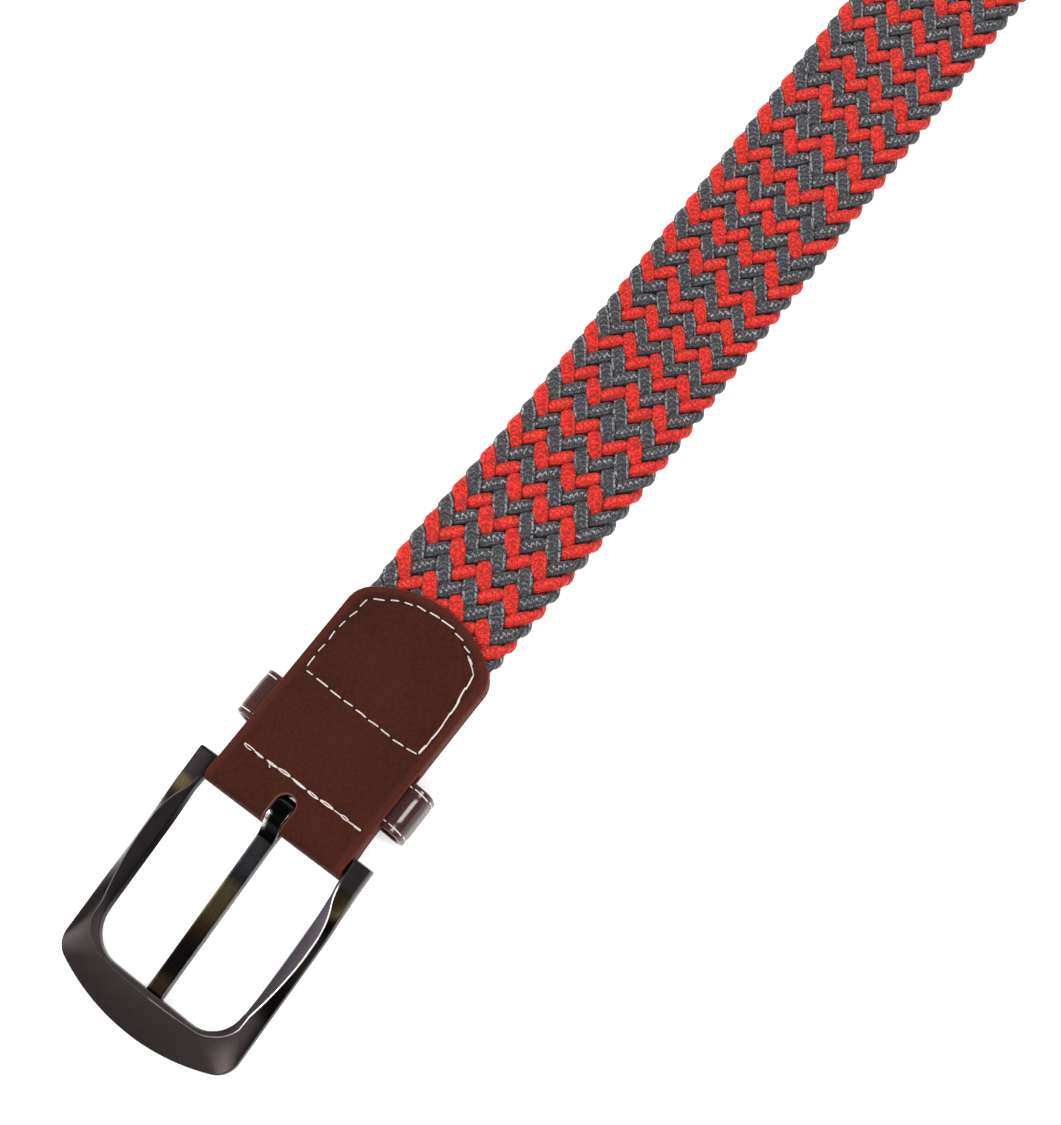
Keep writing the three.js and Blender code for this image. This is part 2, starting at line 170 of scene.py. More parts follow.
def resample(line: Array, spacing: float) -> Array:
    """Spaces the points of an open line evenly.

    Args:
        line: points of any dimension.
        spacing: distance to aim at.

    Returns:
        The new points, both ends kept.
    """
    length = run_length(line)
    count = max(int(round(length[-1] / spacing)), 2)
    at = np.linspace(0, length[-1], count + 1)
    return np.stack([np.interp(at, length, line[:, k]) for k in range(line.shape[1])], -1)


def line_distance(places: Array, line: Array) -> Array:
    """Distance of plan places from an open line.

    Args:
        places: plan points.
        line: plan points of the line.

    Returns:
        One distance for each place.
    """
    best = np.full(len(places), 1e9)
    for a, b in zip(line[:-1], line[1:]):
        d = b - a
        t = np.clip(((places - a) @ d) / max(d @ d, 1e-12), 0, 1)
        best = np.minimum(best, np.linalg.norm(places - a - t[:, None] * d, axis=1))
    return best


def loop_distance(places: Array, loop: Array) -> Array:
    """Distance of plan places from a closed outline."""
    return line_distance(places, np.concatenate([loop, loop[:1]]))


def inside(places: Array, loop: Array) -> Array:
    """Finds the plan places within a closed outline.

    Args:
        places: plan points.
        loop: plan points of the outline.

    Returns:
        One truth value for each place.
    """
    result = np.zeros(len(places), bool)
    for (x0, y0), (x1, y1) in zip(loop, np.roll(loop, -1, 0)):
        if y0 == y1:
            continue
        crosses = (y0 > places[:, 1]) != (y1 > places[:, 1])
        result ^= crosses & (places[:, 0] < (x1 - x0) * (places[:, 1] - y0) / (y1 - y0) + x0)
    return result


def inset(loop: Array, depth: float) -> Array:
    """Moves an outline towards its inside.

    Args:
        loop: plan points of the outline.
        depth: small distance to move by, negative for outwards.

    Returns:
        The moved outline.
    """
    tangent = unit(np.roll(loop, -1, 0) - np.roll(loop, 1, 0))
    normal = np.stack([-tangent[:, 1], tangent[:, 0]], -1)
    area = np.sum(loop[:, 0] * np.roll(loop[:, 1], -1) - np.roll(loop[:, 0], -1) * loop[:, 1])
    return loop + normal * depth * (1 if area > 0 else -1)


def end_outline(length: float, spacing: float = 0.5) -> Array:
    """Plan outline of a rounded leather end, from (0, +half) round to (0, -half).

    Args:
        length: how far the end reaches.
        spacing: distance between points to aim at.

    Returns:
        Plan points of the open outline.
    """
    arc_centre = length - END_ARC_RADIUS
    corner_y = HALF_LEATHER - END_CORNER_RADIUS
    corner_x = arc_centre + math.sqrt((END_ARC_RADIUS - END_CORNER_RADIUS) ** 2 - corner_y ** 2)
    turn = math.atan2(corner_y, corner_x - arc_centre)
    straight = np.linspace(0, corner_x, int(corner_x / spacing))[:-1]
    parts = [np.stack([straight, np.full_like(straight, HALF_LEATHER)], -1)]
    a = np.linspace(math.pi / 2, turn, int(END_CORNER_RADIUS * (math.pi / 2 - turn) / spacing) + 2)[:-1]
    corner = [corner_x + END_CORNER_RADIUS * np.cos(a), corner_y + END_CORNER_RADIUS * np.sin(a)]
    parts.append(np.stack(corner, -1))
    a = np.linspace(turn, 0, int(END_ARC_RADIUS * turn / spacing) + 2)
    parts.append(np.stack([arc_centre + END_ARC_RADIUS * np.cos(a), END_ARC_RADIUS * np.sin(a)], -1))
    upper = np.concatenate(parts)
    return np.concatenate([upper, upper[-2::-1] * [1, -1]])


# Sections and meshes

def rounded_section(width: Array, height: Array, radius: float, steps: int = 3) -> Array:
    """Rounded rectangle round the origin for each width and height.

    Args:
        width: full widths, one per ring.
        height: full heights, one per ring.
        radius: corner radius.
        steps: parts of each corner.

    Returns:
        Places (across, up) of shape (rings, points, 2).
    """
    width, height = np.broadcast_arrays(np.atleast_1d(np.asarray(width, float)), height)
    r = np.minimum(radius, np.minimum(width, height) * 0.49)
    out = []
    for corner, (sx, sy) in enumerate(((1, 1), (-1, 1), (-1, -1), (1, -1))):
        for k in range(steps + 1):
            angle = math.pi / 2 * (corner + k / steps)
            out.append(np.stack([sx * (width / 2 - r) + r * math.cos(angle),
                                 sy * (height / 2 - r) + r * math.sin(angle)], -1))
    return np.stack(out, 1)


def subdivided(section: Array, split: int, over: float = 1.0) -> Array:
    """Section rings with the long sides cut into more parts.

    Args:
        section: places (across, up) of shape (rings, points, 2).
        split: parts of each long side.
        over: length from which a side counts as long.

    Returns:
        The rings with more points.
    """
    parts = []
    for k in range(section.shape[1]):
        here, after = section[:, k], section[:, (k + 1) % section.shape[1]]
        steps = split if np.abs(after - here)[:, 0].max() > over else 1
        parts += [here + (after - here) * t for t in np.arange(steps) / steps]
    return np.stack(parts, 1)


def swept(path: Array, side: Array, up: Array, across: Array, high: Array) -> Array:
    """Rings along a path.

    Args:
        path: middle of each ring.
        side: direction across at each ring.
        up: direction upwards at each ring.
        across: places across, of shape (rings, sides).
        high: places upwards, of the same shape.

    Returns:
        Points of shape (rings, sides, 3).
    """
    return path[:, None] + side[:, None] * across[..., None] + up[:, None] * high[..., None]


def ring_volume(rings: Array) -> float:
    """Signed volume of the space inside lofted rings.

    Args:
        rings: points of shape (rings, sides, 3).

    Returns:
        The volume, positive when the faces look outward.
    """
    a, b = rings[:-1], rings[1:]
    an, bn = np.roll(a, -1, 1), np.roll(b, -1, 1)
    total = np.einsum("ijk,ijk->", a, np.cross(an, bn)) + np.einsum("ijk,ijk->", a, np.cross(bn, b))
    for ring, sign in ((rings[0], -1), (rings[-1], 1)):
        centre = np.broadcast_to(ring.mean(0), ring.shape)
        total += sign * np.einsum("jk,jk->", centre, np.cross(ring, np.roll(ring, -1, 0)))
    return float(total)


@dataclass
class Surface:
    """Gathers patches of one mesh: points, faces, texture places and point values."""

    points: list = field(default_factory=list)
    faces: list = field(default_factory=list)
    uvs: list = field(default_factory=list)
    values: dict = field(default_factory=dict)
    count: int = 0

    def _store(self, points: Array, values: dict | None) -> int:
        """Adds points with their values.

        Args:
            points: places, the last axis being x, y and z.
            values: value name to one number for each point.

        Returns:
            The first point's number.
        """
        start = self.count
        self.points.append(points.reshape(-1, 3))
        size = self.points[-1].shape[0]
        for name, data in (values or {}).items():
            self.values.setdefault(name, [np.zeros(start)] if start else [])
            self.values[name].append(np.broadcast_to(data, points.shape[:-1]).reshape(-1))
        for name, data in self.values.items():
            if name not in (values or {}):
                data.append(np.zeros(size))
        self.count += size
        return start

    def loft(self, rings: Array, v: Array | None = None, values: dict | None = None) -> None:
        """Adds a closed skin through rings of equal count, a flat cap at each end.

        Args:
            rings: points, ring by ring, of shape (rings, sides, 3).
            v: texture place along the rings.
            values: point values of shape (rings, sides).
        """
        rows, sides, _ = rings.shape
        u = np.linspace(0, 1, sides + 1)
        if ring_volume(rings) < 0:
            rings = rings[:, ::-1]
            values = {k: np.broadcast_to(d, (rows, sides))[:, ::-1] for k, d in (values or {}).items()}
            u = np.append(u[:-1][::-1], u[0] - (u[-1] - u[-2]))
        start = self._store(rings, values)
        v = np.arange(rows, dtype=float) if v is None else v
        r, k = np.meshgrid(np.arange(rows - 1), np.arange(sides), indexing="ij")
        n = (k + 1) % sides
        quad = np.stack([r * sides + k, r * sides + n, (r + 1) * sides + n, (r + 1) * sides + k], -1)
        self.faces.extend((quad.reshape(-1, 4) + start).tolist())
        corner_u = np.stack([u[k], u[k + 1], u[k + 1], u[k]], -1)
        corner_v = np.stack([v[r], v[r], v[r + 1], v[r + 1]], -1)
        self.uvs.append(np.stack([corner_u, corner_v], -1).reshape(-1, 2))
        last = start + (rows - 1) * sides
        self.faces.append(list(range(start, start + sides))[::-1])
        self.faces.append(list(range(last, last + sides)))
        self.uvs.append(np.stack([u[:-1][::-1], np.full(sides, v[0])], -1))
        self.uvs.append(np.stack([u[:-1], np.full(sides, v[-1])], -1))

    def patch(self, points: Array, faces: Array, uv: Array, values: dict | None = None) -> None:
        """Adds faces of one size over given points.

        Args:
            points: places of shape (points, 3).
            faces: point numbers of each face.
            uv: texture place of each point.
            values: point values.
        """
        start = self._store(points, values)
        self.faces.extend((np.asarray(faces) + start).tolist())
        self.uvs.append(uv[np.asarray(faces).reshape(-1)])

    def build(self, name: str, material: bpy.types.Material, body: Body, slot: str) -> bpy.types.Object:
        """Makes the object, gives it its material and lets it ride on a body.

        Args:
            name: the piece's name.
            material: its finish.
            body: the CAD body that it moves with.
            slot: the record's material slot; not used.

        Returns:
            The new object.
        """
        mesh = bpy.data.meshes.new(name)
        mesh.from_pydata((np.concatenate(self.points) * MM).tolist(), [], self.faces)
        layer = mesh.uv_layers.new(name="UVMap")
        layer.data.foreach_set("uv", np.concatenate(self.uvs).astype(np.float32).reshape(-1))
        for key, data in self.values.items():
            attribute = mesh.attributes.new(key, "FLOAT", "POINT")
            attribute.data.foreach_set("value", np.concatenate(data).astype(np.float32))
        mesh.validate(clean_customdata=False)
        mesh.shade_smooth()
        mesh.materials.append(material)
        piece = bpy.data.objects.new(name, mesh)
        bpy.context.scene.collection.objects.link(piece)
        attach(piece, body.value)
        triangles = sum(len(f) - 2 for f in self.faces)
        log.info("%s: %d triangles on %s", name, triangles, body.value)
        return piece


# Node trees

class Tree:
    """Adds and links the nodes of one material or group."""

    def __init__(self, tree: bpy.types.NodeTree) -> None:
        """Keeps the tree that is filled."""
        self.tree = tree

    def connect(self, node: bpy.types.Node, inputs: dict) -> None:
        """Sets or links inputs of a node.

        Args:
            node: the node.
            inputs: input name or number to a value or an output socket.
        """
        for key, value in inputs.items():
            if isinstance(value, Socket):
                self.tree.links.new(value, node.inputs[key])
            else:
                node.inputs[key].default_value = value

    def add(self, kind: str, inputs: dict | None = None, **settings: object) -> bpy.types.Node:
        """Adds a node, sets its properties, and sets or links its inputs.

        Args:
            kind: node type without its common prefix.
            inputs: input name or number to a value or an output socket.
            **settings: node properties.

        Returns:
            The new node.
        """
        node = self.tree.nodes.new("ShaderNode" + kind)
        for key, value in settings.items():
            setattr(node, key, value)
        self.connect(node, inputs or {})
        return node

    def math(self, operation: str, *values: Value) -> Socket:
        """Adds a Math node and returns its output."""
        return self.add("Math", dict(enumerate(values)), operation=operation).outputs[0]

    def times(self, a: Value, b: Value) -> Socket:
        """Product of two values."""
        return self.math("MULTIPLY", a, b)

    def plus(self, a: Value, b: Value) -> Socket:
        """Sum of two values."""
        return self.math("ADD", a, b)

    def minus(self, a: Value, b: Value) -> Socket:
        """Difference of two values."""
        return self.math("SUBTRACT", a, b)

    def scaled(self, value: Value, factor: Value, offset: Value) -> Socket:
        """A value times a factor plus an offset."""
        return self.math("MULTIPLY_ADD", value, factor, offset)

    def size(self, value: Value) -> Socket:
        """A value without its sign."""
        return self.math("ABSOLUTE", value)

    def larger(self, a: Value, b: Value) -> Socket:
        """The larger of two values."""
        return self.math("MAXIMUM", a, b)

    def spread(self, value: Socket, low: float, high: float, to_low: float = 0.0,
               to_high: float = 1.0) -> Socket:
        """Maps a value smoothly from one range to another."""
        inputs = {0: value, 1: low, 2: high, 3: to_low, 4: to_high}
        return self.add("MapRange", inputs, interpolation_type="SMOOTHSTEP").outputs[0]

    def mix(self, factor: Value, a: Value, b: Value) -> Socket:
        """Mixes two colours."""
        return self.add("Mix", {0: factor, 6: a, 7: b}, data_type="RGBA").outputs[2]

    def noise(self, place: Socket, scale: float, detail: float = 2.0, rough: float = 0.5) -> Socket:
        """Adds a noise texture and returns its value."""
        inputs = {"Vector": place, "Scale": scale, "Detail": detail, "Roughness": rough}
        return self.add("TexNoise", inputs).outputs[0]

    def bump(self, height: Socket, depth: float, strength: float) -> Socket:
        """Normal of a height, its depth in millimetres."""
        return self.add("Bump", {"Height": height, "Distance": depth * MM, "Strength": strength}).outputs[0]

    def mask(self, name: str) -> Socket:
        """Point value of the mesh."""
        return self.add("Attribute", attribute_name=name).outputs["Fac"]

    def place(self) -> Socket:
        """Place in the object."""
        return self.add("TexCoord").outputs["Object"]

    def uv(self) -> tuple[Socket, Socket]:
        """Texture places round and along a piece."""
        split = self.add("SeparateXYZ", {0: self.add("UVMap", uv_map="UVMap").outputs[0]})
        return split.outputs[0], split.outputs[1]


def rgba(red: float, green: float, blue: float) -> tuple[float, float, float, float]:
    """A linear colour from its display values.

    Args:
        red: display value of 0 to 255.
        green: the same for green.
        blue: the same for blue.

    Returns:
        The colour with full alpha.
    """
    shares = (value / 255 for value in (red, green, blue))
    return (*(v / 12.92 if v <= 0.04045 else ((v + 0.055) / 1.055) ** 2.4 for v in shares), 1.0)


def new_group(name: str, inputs: dict, outputs: tuple) -> tuple[Tree, bpy.types.Node, bpy.types.Node]:
    """Makes an empty node group with its sockets, all of them plain numbers.

    Args:
        name: the group's name.
        inputs: socket name to default.
        outputs: socket names.

    Returns:
        The group's tree helper, its input node and its output node.
    """
    tree = bpy.data.node_groups.new(name, "ShaderNodeTree")
    for key, default in inputs.items():
        socket = tree.interface.new_socket(key, in_out="INPUT", socket_type="NodeSocketFloat")
        socket.default_value = default
    for key in outputs:
        tree.interface.new_socket(key, in_out="OUTPUT", socket_type="NodeSocketFloat")
    entry, leave = tree.nodes.new("NodeGroupInput"), tree.nodes.new("NodeGroupOutput")
    return Tree(tree), entry, leave


def knit_group() -> bpy.types.NodeTree:
    """Braided skin of a cord: height of its strands, a mask of pale flecks that are painted highlight, a mask
    of painted shade in the gaps, and a tone that is darker in the knit's hollows as painted shade.

    Returns:
        The group's tree.
    """
    t, entry, leave = new_group(
        "braided_cord", {"Strand": 1.05, "Slant": 1.5, "Seed": 0.0}, ("Height", "PaintedHighlight", "Tone", "PaintedShade"))
    around, along = t.uv()
    # signed is 0 on the middle of the upper and lower side and 1 at the cord's flanks
    signed = t.times(t.minus(t.math("FRACT", t.times(around, 2.0)), 0.5), 2.0)
    aside = t.size(signed)
    place = t.add("CombineXYZ", {0: t.times(around, 8.0), 1: along, 2: entry.outputs["Seed"]}).outputs[0]
    # slanted strands that stray a little
    strands = t.math("DIVIDE", along, entry.outputs["Strand"])
    wander = t.minus(t.noise(place, 0.8, 2.0, 0.6), 0.5)
    strayed = t.scaled(wander, 1.4, strands)
    phase = t.scaled(aside, entry.outputs["Slant"], strayed)
    wave = t.scaled(t.math("SINE", t.times(phase, TAU)), 0.5, 0.5)
    loops = t.add("TexVoronoi", {"Vector": place, "Scale": 1.9, "Randomness": 0.8}, feature="F1")
    blobs = t.spread(loops.outputs["Distance"], 0.62, 0.1)
    fibres = t.noise(place, 3.6, 2.0, 0.6)
    height = t.plus(t.times(wave, 0.2), t.plus(t.times(blobs, 0.55), t.times(fibres, 0.5)))
    # painted highlight: a pale zigzag on the middle of flat floats
    bend = t.size(t.minus(t.math("FRACT", strayed), 0.5))
    zigzag_glint = t.size(t.minus(signed, t.scaled(bend, 0.7, -0.17)))
    zigzag_glint = t.times(t.spread(zigzag_glint, 0.15, 0.04), 0.8)
    # painted highlight: pale rims and crests on steep floats
    crest_glint = t.times(t.spread(wave, 0.6, 0.95), t.spread(aside, 0.5, 0.2))
    rim = t.times(t.spread(aside, 0.32, 0.42), t.spread(aside, 0.66, 0.54))
    broken = t.spread(t.noise(place, 2.1, 3.0, 0.7), 0.42, 0.6)
    steep = t.mask("steep")
    outline = t.larger(t.times(rim, 0.95), t.times(crest_glint, 0.22))
    middle = t.larger(zigzag_glint, t.times(rim, 0.25))
    drawn = t.plus(t.times(outline, steep), t.times(middle, t.minus(1.0, steep)))
    # a mottled tone that is lower between the knit's loops: painted shade in the hollows
    tone = t.times(t.plus(t.times(wave, 0.14), t.times(fibres, 0.86)), t.spread(blobs, 0.0, 0.6, 0.5, 1.0))
    # the gap output is painted shade between cords and where they dive
    t.connect(leave, {"Height": height, "PaintedHighlight": t.times(drawn, broken), "Tone": tone, "PaintedShade": t.mask("gap")})
    return t.tree


def grain_group() -> bpy.types.NodeTree:
    """Leather skin: height of the fine grain, a drifting tone, and masks of the painted edge and of a border
    band that is painted light.

    Returns:
        The group's tree.
    """
    t, entry, leave = new_group(
        "leather_grain", {"Grain": 2300.0, "Creases": 0.0}, ("Height", "Tone", "Edge", "LitBorder"))
    place = t.place()
    cells = t.add("TexVoronoi", {"Vector": place, "Scale": entry.outputs["Grain"]},
                  feature="DISTANCE_TO_EDGE")
    pebble = t.spread(cells.outputs["Distance"], 0.0, 0.22)
    fine = t.noise(place, 5200.0, 3.0, 0.6)
    drawn = t.add("Mapping", {"Vector": place, "Scale": (1.0, 0.16, 0.16)}).outputs[0]
    crease = t.size(t.minus(t.noise(drawn, 900.0, 4.0, 0.6), 0.5))
    crease = t.times(t.spread(crease, 0.0, 0.10), entry.outputs["Creases"])
    height = t.plus(t.plus(t.times(pebble, 0.6), t.times(fine, 0.5)), crease)
    tone = t.plus(t.times(t.noise(place, 60.0, 3.0), 0.35), t.times(t.noise(place, 1500.0, 3.0, 0.6), 0.65))
    reach = t.mask("edge")
    ragged = t.plus(reach, t.times(t.minus(t.noise(place, 900.0, 2.0), 0.5), 0.3))
    t.connect(leave, {"Height": height, "Tone": tone, "Edge": t.spread(ragged, 0.42, 0.1),
                      # the border band is painted light on the sloping rim of the upper ply
                      "LitBorder": t.spread(reach, 2.3, 1.0)})
    return t.tree


def plating_group() -> bpy.types.NodeTree:
    """Dark plating: drifting tarnish, fine scratches and small dents of the cast metal.

    Returns:
        The group's tree.
    """
    t, _, leave = new_group("dark_plating", {}, ("Tarnish", "Scratch", "Height"))
    place = t.place()
    drawn = t.add("Mapping", {"Vector": place, "Scale": (0.06, 1.0, 1.0)}).outputs[0]
    scratch = t.spread(t.noise(drawn, 4200.0, 3.0, 0.7), 0.42, 0.7)
    t.connect(leave, {
        "Tarnish": t.spread(t.noise(place, 110.0, 3.0, 0.55), 0.38, 0.66), "Scratch": scratch,
        "Height": t.plus(t.times(scratch, 0.25), t.noise(place, 480.0, 2.0, 0.5)),
    })
    return t.tree


class Effects:
    """Shader groups shared by the finishes, made once."""

    def __init__(self) -> None:
        """Makes the groups."""
        self.knit = knit_group()
        self.grain = grain_group()
        self.plating = plating_group()


def blank_material(name: str) -> tuple[Tree, bpy.types.Node, bpy.types.Material]:
    """Makes a material.

    Args:
        name: the material's name.

    Returns:
        Its tree helper, its Principled shader and the material.
    """
    material = bpy.data.materials.new(name)
    material.use_nodes = True
    return Tree(material.node_tree), material.node_tree.nodes["Principled BSDF"], material


# Finishes

@dataclass(frozen=True)
class CordFinish:
    """Braided cord in one colour, with pale flecks on its strands as painted highlight, a tone darker in the
    knit's hollows as painted shade, and painted shade in the gaps to its neighbours.
    """

    name: str
    colour: tuple
    shade: tuple
    highlight_fleck: tuple
    highlight_share: float
    gap_shade: tuple
    seed: float

    def material(self, effects: Effects) -> bpy.types.Material:
        """Makes the cord's material.

        Args:
            effects: the shared shader groups.

        Returns:
            The material.
        """
        t, shader, material = blank_material(self.name)
        knit = t.add("Group", node_tree=effects.knit)
        knit.inputs["Seed"].default_value = self.seed
        # painted shade: the tone darkens the knit's hollows towards the shade colour, with random mottling
        body = t.mix(t.spread(knit.outputs["Tone"], 0.1, 0.62), self.shade, self.colour)
        # painted highlight: pale flecks mixed in by the highlight mask
        skin = t.mix(t.times(knit.outputs["PaintedHighlight"], self.highlight_share), body, self.highlight_fleck)
        t.connect(shader, {
            # painted shade: the gap colour laid where cords touch and dive
            "Base Color": t.mix(knit.outputs["PaintedShade"], skin, self.gap_shade), "Roughness": 0.6,
            "Specular IOR Level": 0.25, "Sheen Weight": 0.06, "Sheen Roughness": 0.4,
            "Normal": t.bump(knit.outputs["Height"], 0.26, 0.9),
        })
        return material


@dataclass(frozen=True)
class LeatherFinish:
    """Leather with a fine grain, painted edges, a border band painted lighter as painted light, a pale rim at
    cut holes and needle holes painted dark as painted shade.
    """

    name: str
    colour: tuple
    deep: tuple
    edge: tuple
    rim: tuple
    roughness: float
    grain_depth: float
    # colour of the needle holes: painted shade
    pit: tuple = rgba(8, 3, 3)
    creases: float = 0.0
    coat: float = 0.0

    def material(self, effects: Effects) -> bpy.types.Material:
        """Makes the leather's material.

        Args:
            effects: the shared shader groups.

        Returns:
            The material.
        """
        t, shader, material = blank_material(self.name)
        grain = t.add("Group", node_tree=effects.grain)
        grain.inputs["Creases"].default_value = self.creases
        body = t.mix(t.spread(grain.outputs["Tone"], 0.35, 0.65), self.deep, self.colour)
        # painted light: the sloping border drawn lighter towards the edge colour
        body = t.mix(t.times(grain.outputs["LitBorder"], 0.3), body, self.edge)
        body = t.mix(grain.outputs["Edge"], body, self.edge)
        body = t.mix(t.mask("rim"), body, self.rim)
        # painted shade: needle holes drawn dark
        body = t.mix(t.mask("pit"), body, self.pit)
        low, high = self.roughness - 0.06, self.roughness + 0.08
        t.connect(shader, {
            "Base Color": body, "Roughness": t.spread(grain.outputs["Height"], 0.2, 1.0, high, low),
            "Specular IOR Level": 0.08, "Coat Weight": self.coat, "Coat Roughness": 0.16,
            "Normal": t.bump(grain.outputs["Height"], self.grain_depth, 0.6),
        })
        return material


@dataclass(frozen=True)
class ThreadFinish:
    """Twisted sewing thread, darker in its twist grooves as painted shade, and soiled a little."""

    name: str
    colour: tuple
    shade: tuple

    def material(self) -> bpy.types.Material:
        """Makes the thread's material.

        Returns:
            The material.
        """
        t, shader, material = blank_material(self.name)
        around, along = t.uv()
        phase = t.plus(t.times(along, 2.4), around)
        strand = t.size(t.math("SINE", t.times(phase, 3 * math.pi)))
        soil = t.spread(t.noise(t.place(), 900.0), 0.25, 0.6, 0.6, 1.0)
        # painted shade in the twist grooves, times random soiling
        tone = t.times(t.spread(strand, 0.0, 0.6, 0.35, 1.0), soil)
        t.connect(shader, {
            "Base Color": t.mix(tone, self.shade, self.colour), "Roughness": 0.6, "Sheen Weight": 0.3,
            "Normal": t.bump(strand, 0.09, 0.8),
        })
        return material


# Point values of the frame's mesh: distance from the ridge, upper side, distance from the outer rim, end bar,
# olive patch, left rail, stub beside the tab and bend of the corner
FRAME_VALUES = ("side", "top", "rim", "end", "patch", "left", "stub", "bow")


@dataclass(frozen=True)
class FrameFinish:
    """Dark plating of the cast frame, given lighter and darker colours by face as painted reflection and
    shade: a black flank, a matte inner facet, a lighter end, a darker left rail and corner bend, and a
    painted highlight on the ridge and outer rim.
    """

    name: str
    flank: tuple
    stub: tuple
    facet: tuple
    face: tuple
    tarnish: tuple
    painted_glint: tuple

    def material(self, effects: Effects) -> bpy.types.Material:
        """Makes the frame's material.

        Args:
            effects: the shared shader groups.

        Returns:
            The material.
        """
        t, shader, material = blank_material(self.name)
        plating = t.add("Group", node_tree=effects.plating)
        side, top, rim, end, patch, left, stub, bow = (t.mask(key) for key in FRAME_VALUES)
        upper = t.spread(top, 0.5, 0.9)
        inner = t.times(t.spread(side, 0.0, -0.12), upper)
        # painted reflection and shade: one plating in lighter and darker colours by face, the left rail and
        # the corner's bend darker
        face = t.mix(t.times(bow, 0.6), self.face, self.flank)
        stub_skin = t.mix(t.times(left, 0.72), self.stub, self.flank)
        flank = t.mix(stub, t.mix(end, self.flank, face), stub_skin)
        # an olive patch on the upper side near the stub
        flank = t.mix(t.times(patch, upper), flank, self.tarnish)
        facet = t.mix(t.times(left, 0.92), self.facet, self.flank)
        body = t.mix(inner, flank, t.mix(stub, t.mix(end, facet, face), stub_skin))
        body = t.mix(t.times(plating.outputs["Tarnish"], 0.12), body, self.tarnish)
        # painted highlight on the ridge and the outer rim
        ridge = t.times(t.spread(t.size(side), 0.19, 0.06), upper)
        ridge = t.times(ridge, t.spread(end, 0.0, 1.0, 1.0, 0.16))
        ridge = t.times(ridge, t.minus(1.0, t.larger(stub, t.times(left, 0.93))))
        edge = t.times(t.spread(t.size(rim), 0.24, 0.08), upper)
        edge = t.times(edge, t.scaled(left, 0.22, 0.12))
        t.connect(shader, {
            "Base Color": t.mix(t.larger(ridge, edge), body, self.painted_glint), "Metallic": 1.0,
            "Roughness": t.scaled(inner, 0.16, t.scaled(plating.outputs["Scratch"], 0.06, 0.28)),
            "Normal": t.bump(plating.outputs["Height"], 0.008, 0.5),
        })
        return material


@dataclass(frozen=True)
class ProngFinish:
    """Polished dark plating with bands of painted reflection along the prong, a painted highlight on its curl
    and thin painted highlights along its top edges.

    The colour stops, painted reflection, are given at distances from the tip, in millimetres up to the reach.
    """

    name: str
    reflection_bands: tuple
    painted_glint: tuple
    reach: float = 60.0
    drift: float = 3.0

    def material(self, effects: Effects) -> bpy.types.Material:
        """Makes the prong's material.

        Args:
            effects: the shared shader groups.

        Returns:
            The material.
        """
        t, shader, material = blank_material(self.name)
        plating = t.add("Group", node_tree=effects.plating)
        along = t.uv()[1]
        place = t.place()
        drift = t.times(t.minus(t.noise(place, 260.0), 0.5), self.drift / self.reach)
        ramp = t.add("ValToRGB", {"Fac": t.scaled(along, 1 / TEXTURE_SCALE / self.reach, drift)})
        stops = ramp.color_ramp.elements
        for number, (distance, colour) in enumerate(self.reflection_bands):
            stop = stops[number] if number < 2 else stops.new(distance / self.reach)
            stop.position, stop.color = distance / self.reach, colour
        # painted highlight: thin pale lines along the top edges and pale strokes on the curl's left flank
        line = t.times(t.spread(t.size(t.mask("edge")), 0.2, 0.06), 0.16)
        glint_strokes = t.times(t.mask("painted_glint"), t.spread(t.noise(place, 2600.0, 3.0, 0.7), 0.36, 0.5))
        t.connect(shader, {
            "Base Color": t.mix(t.larger(line, glint_strokes), ramp.outputs[0], self.painted_glint), "Metallic": 1.0,
            "Roughness": t.scaled(plating.outputs["Scratch"], 0.08, 0.2),
            "Normal": t.bump(plating.outputs["Height"], 0.01, 0.5),
        })
        return material


# Plait of seventeen cords

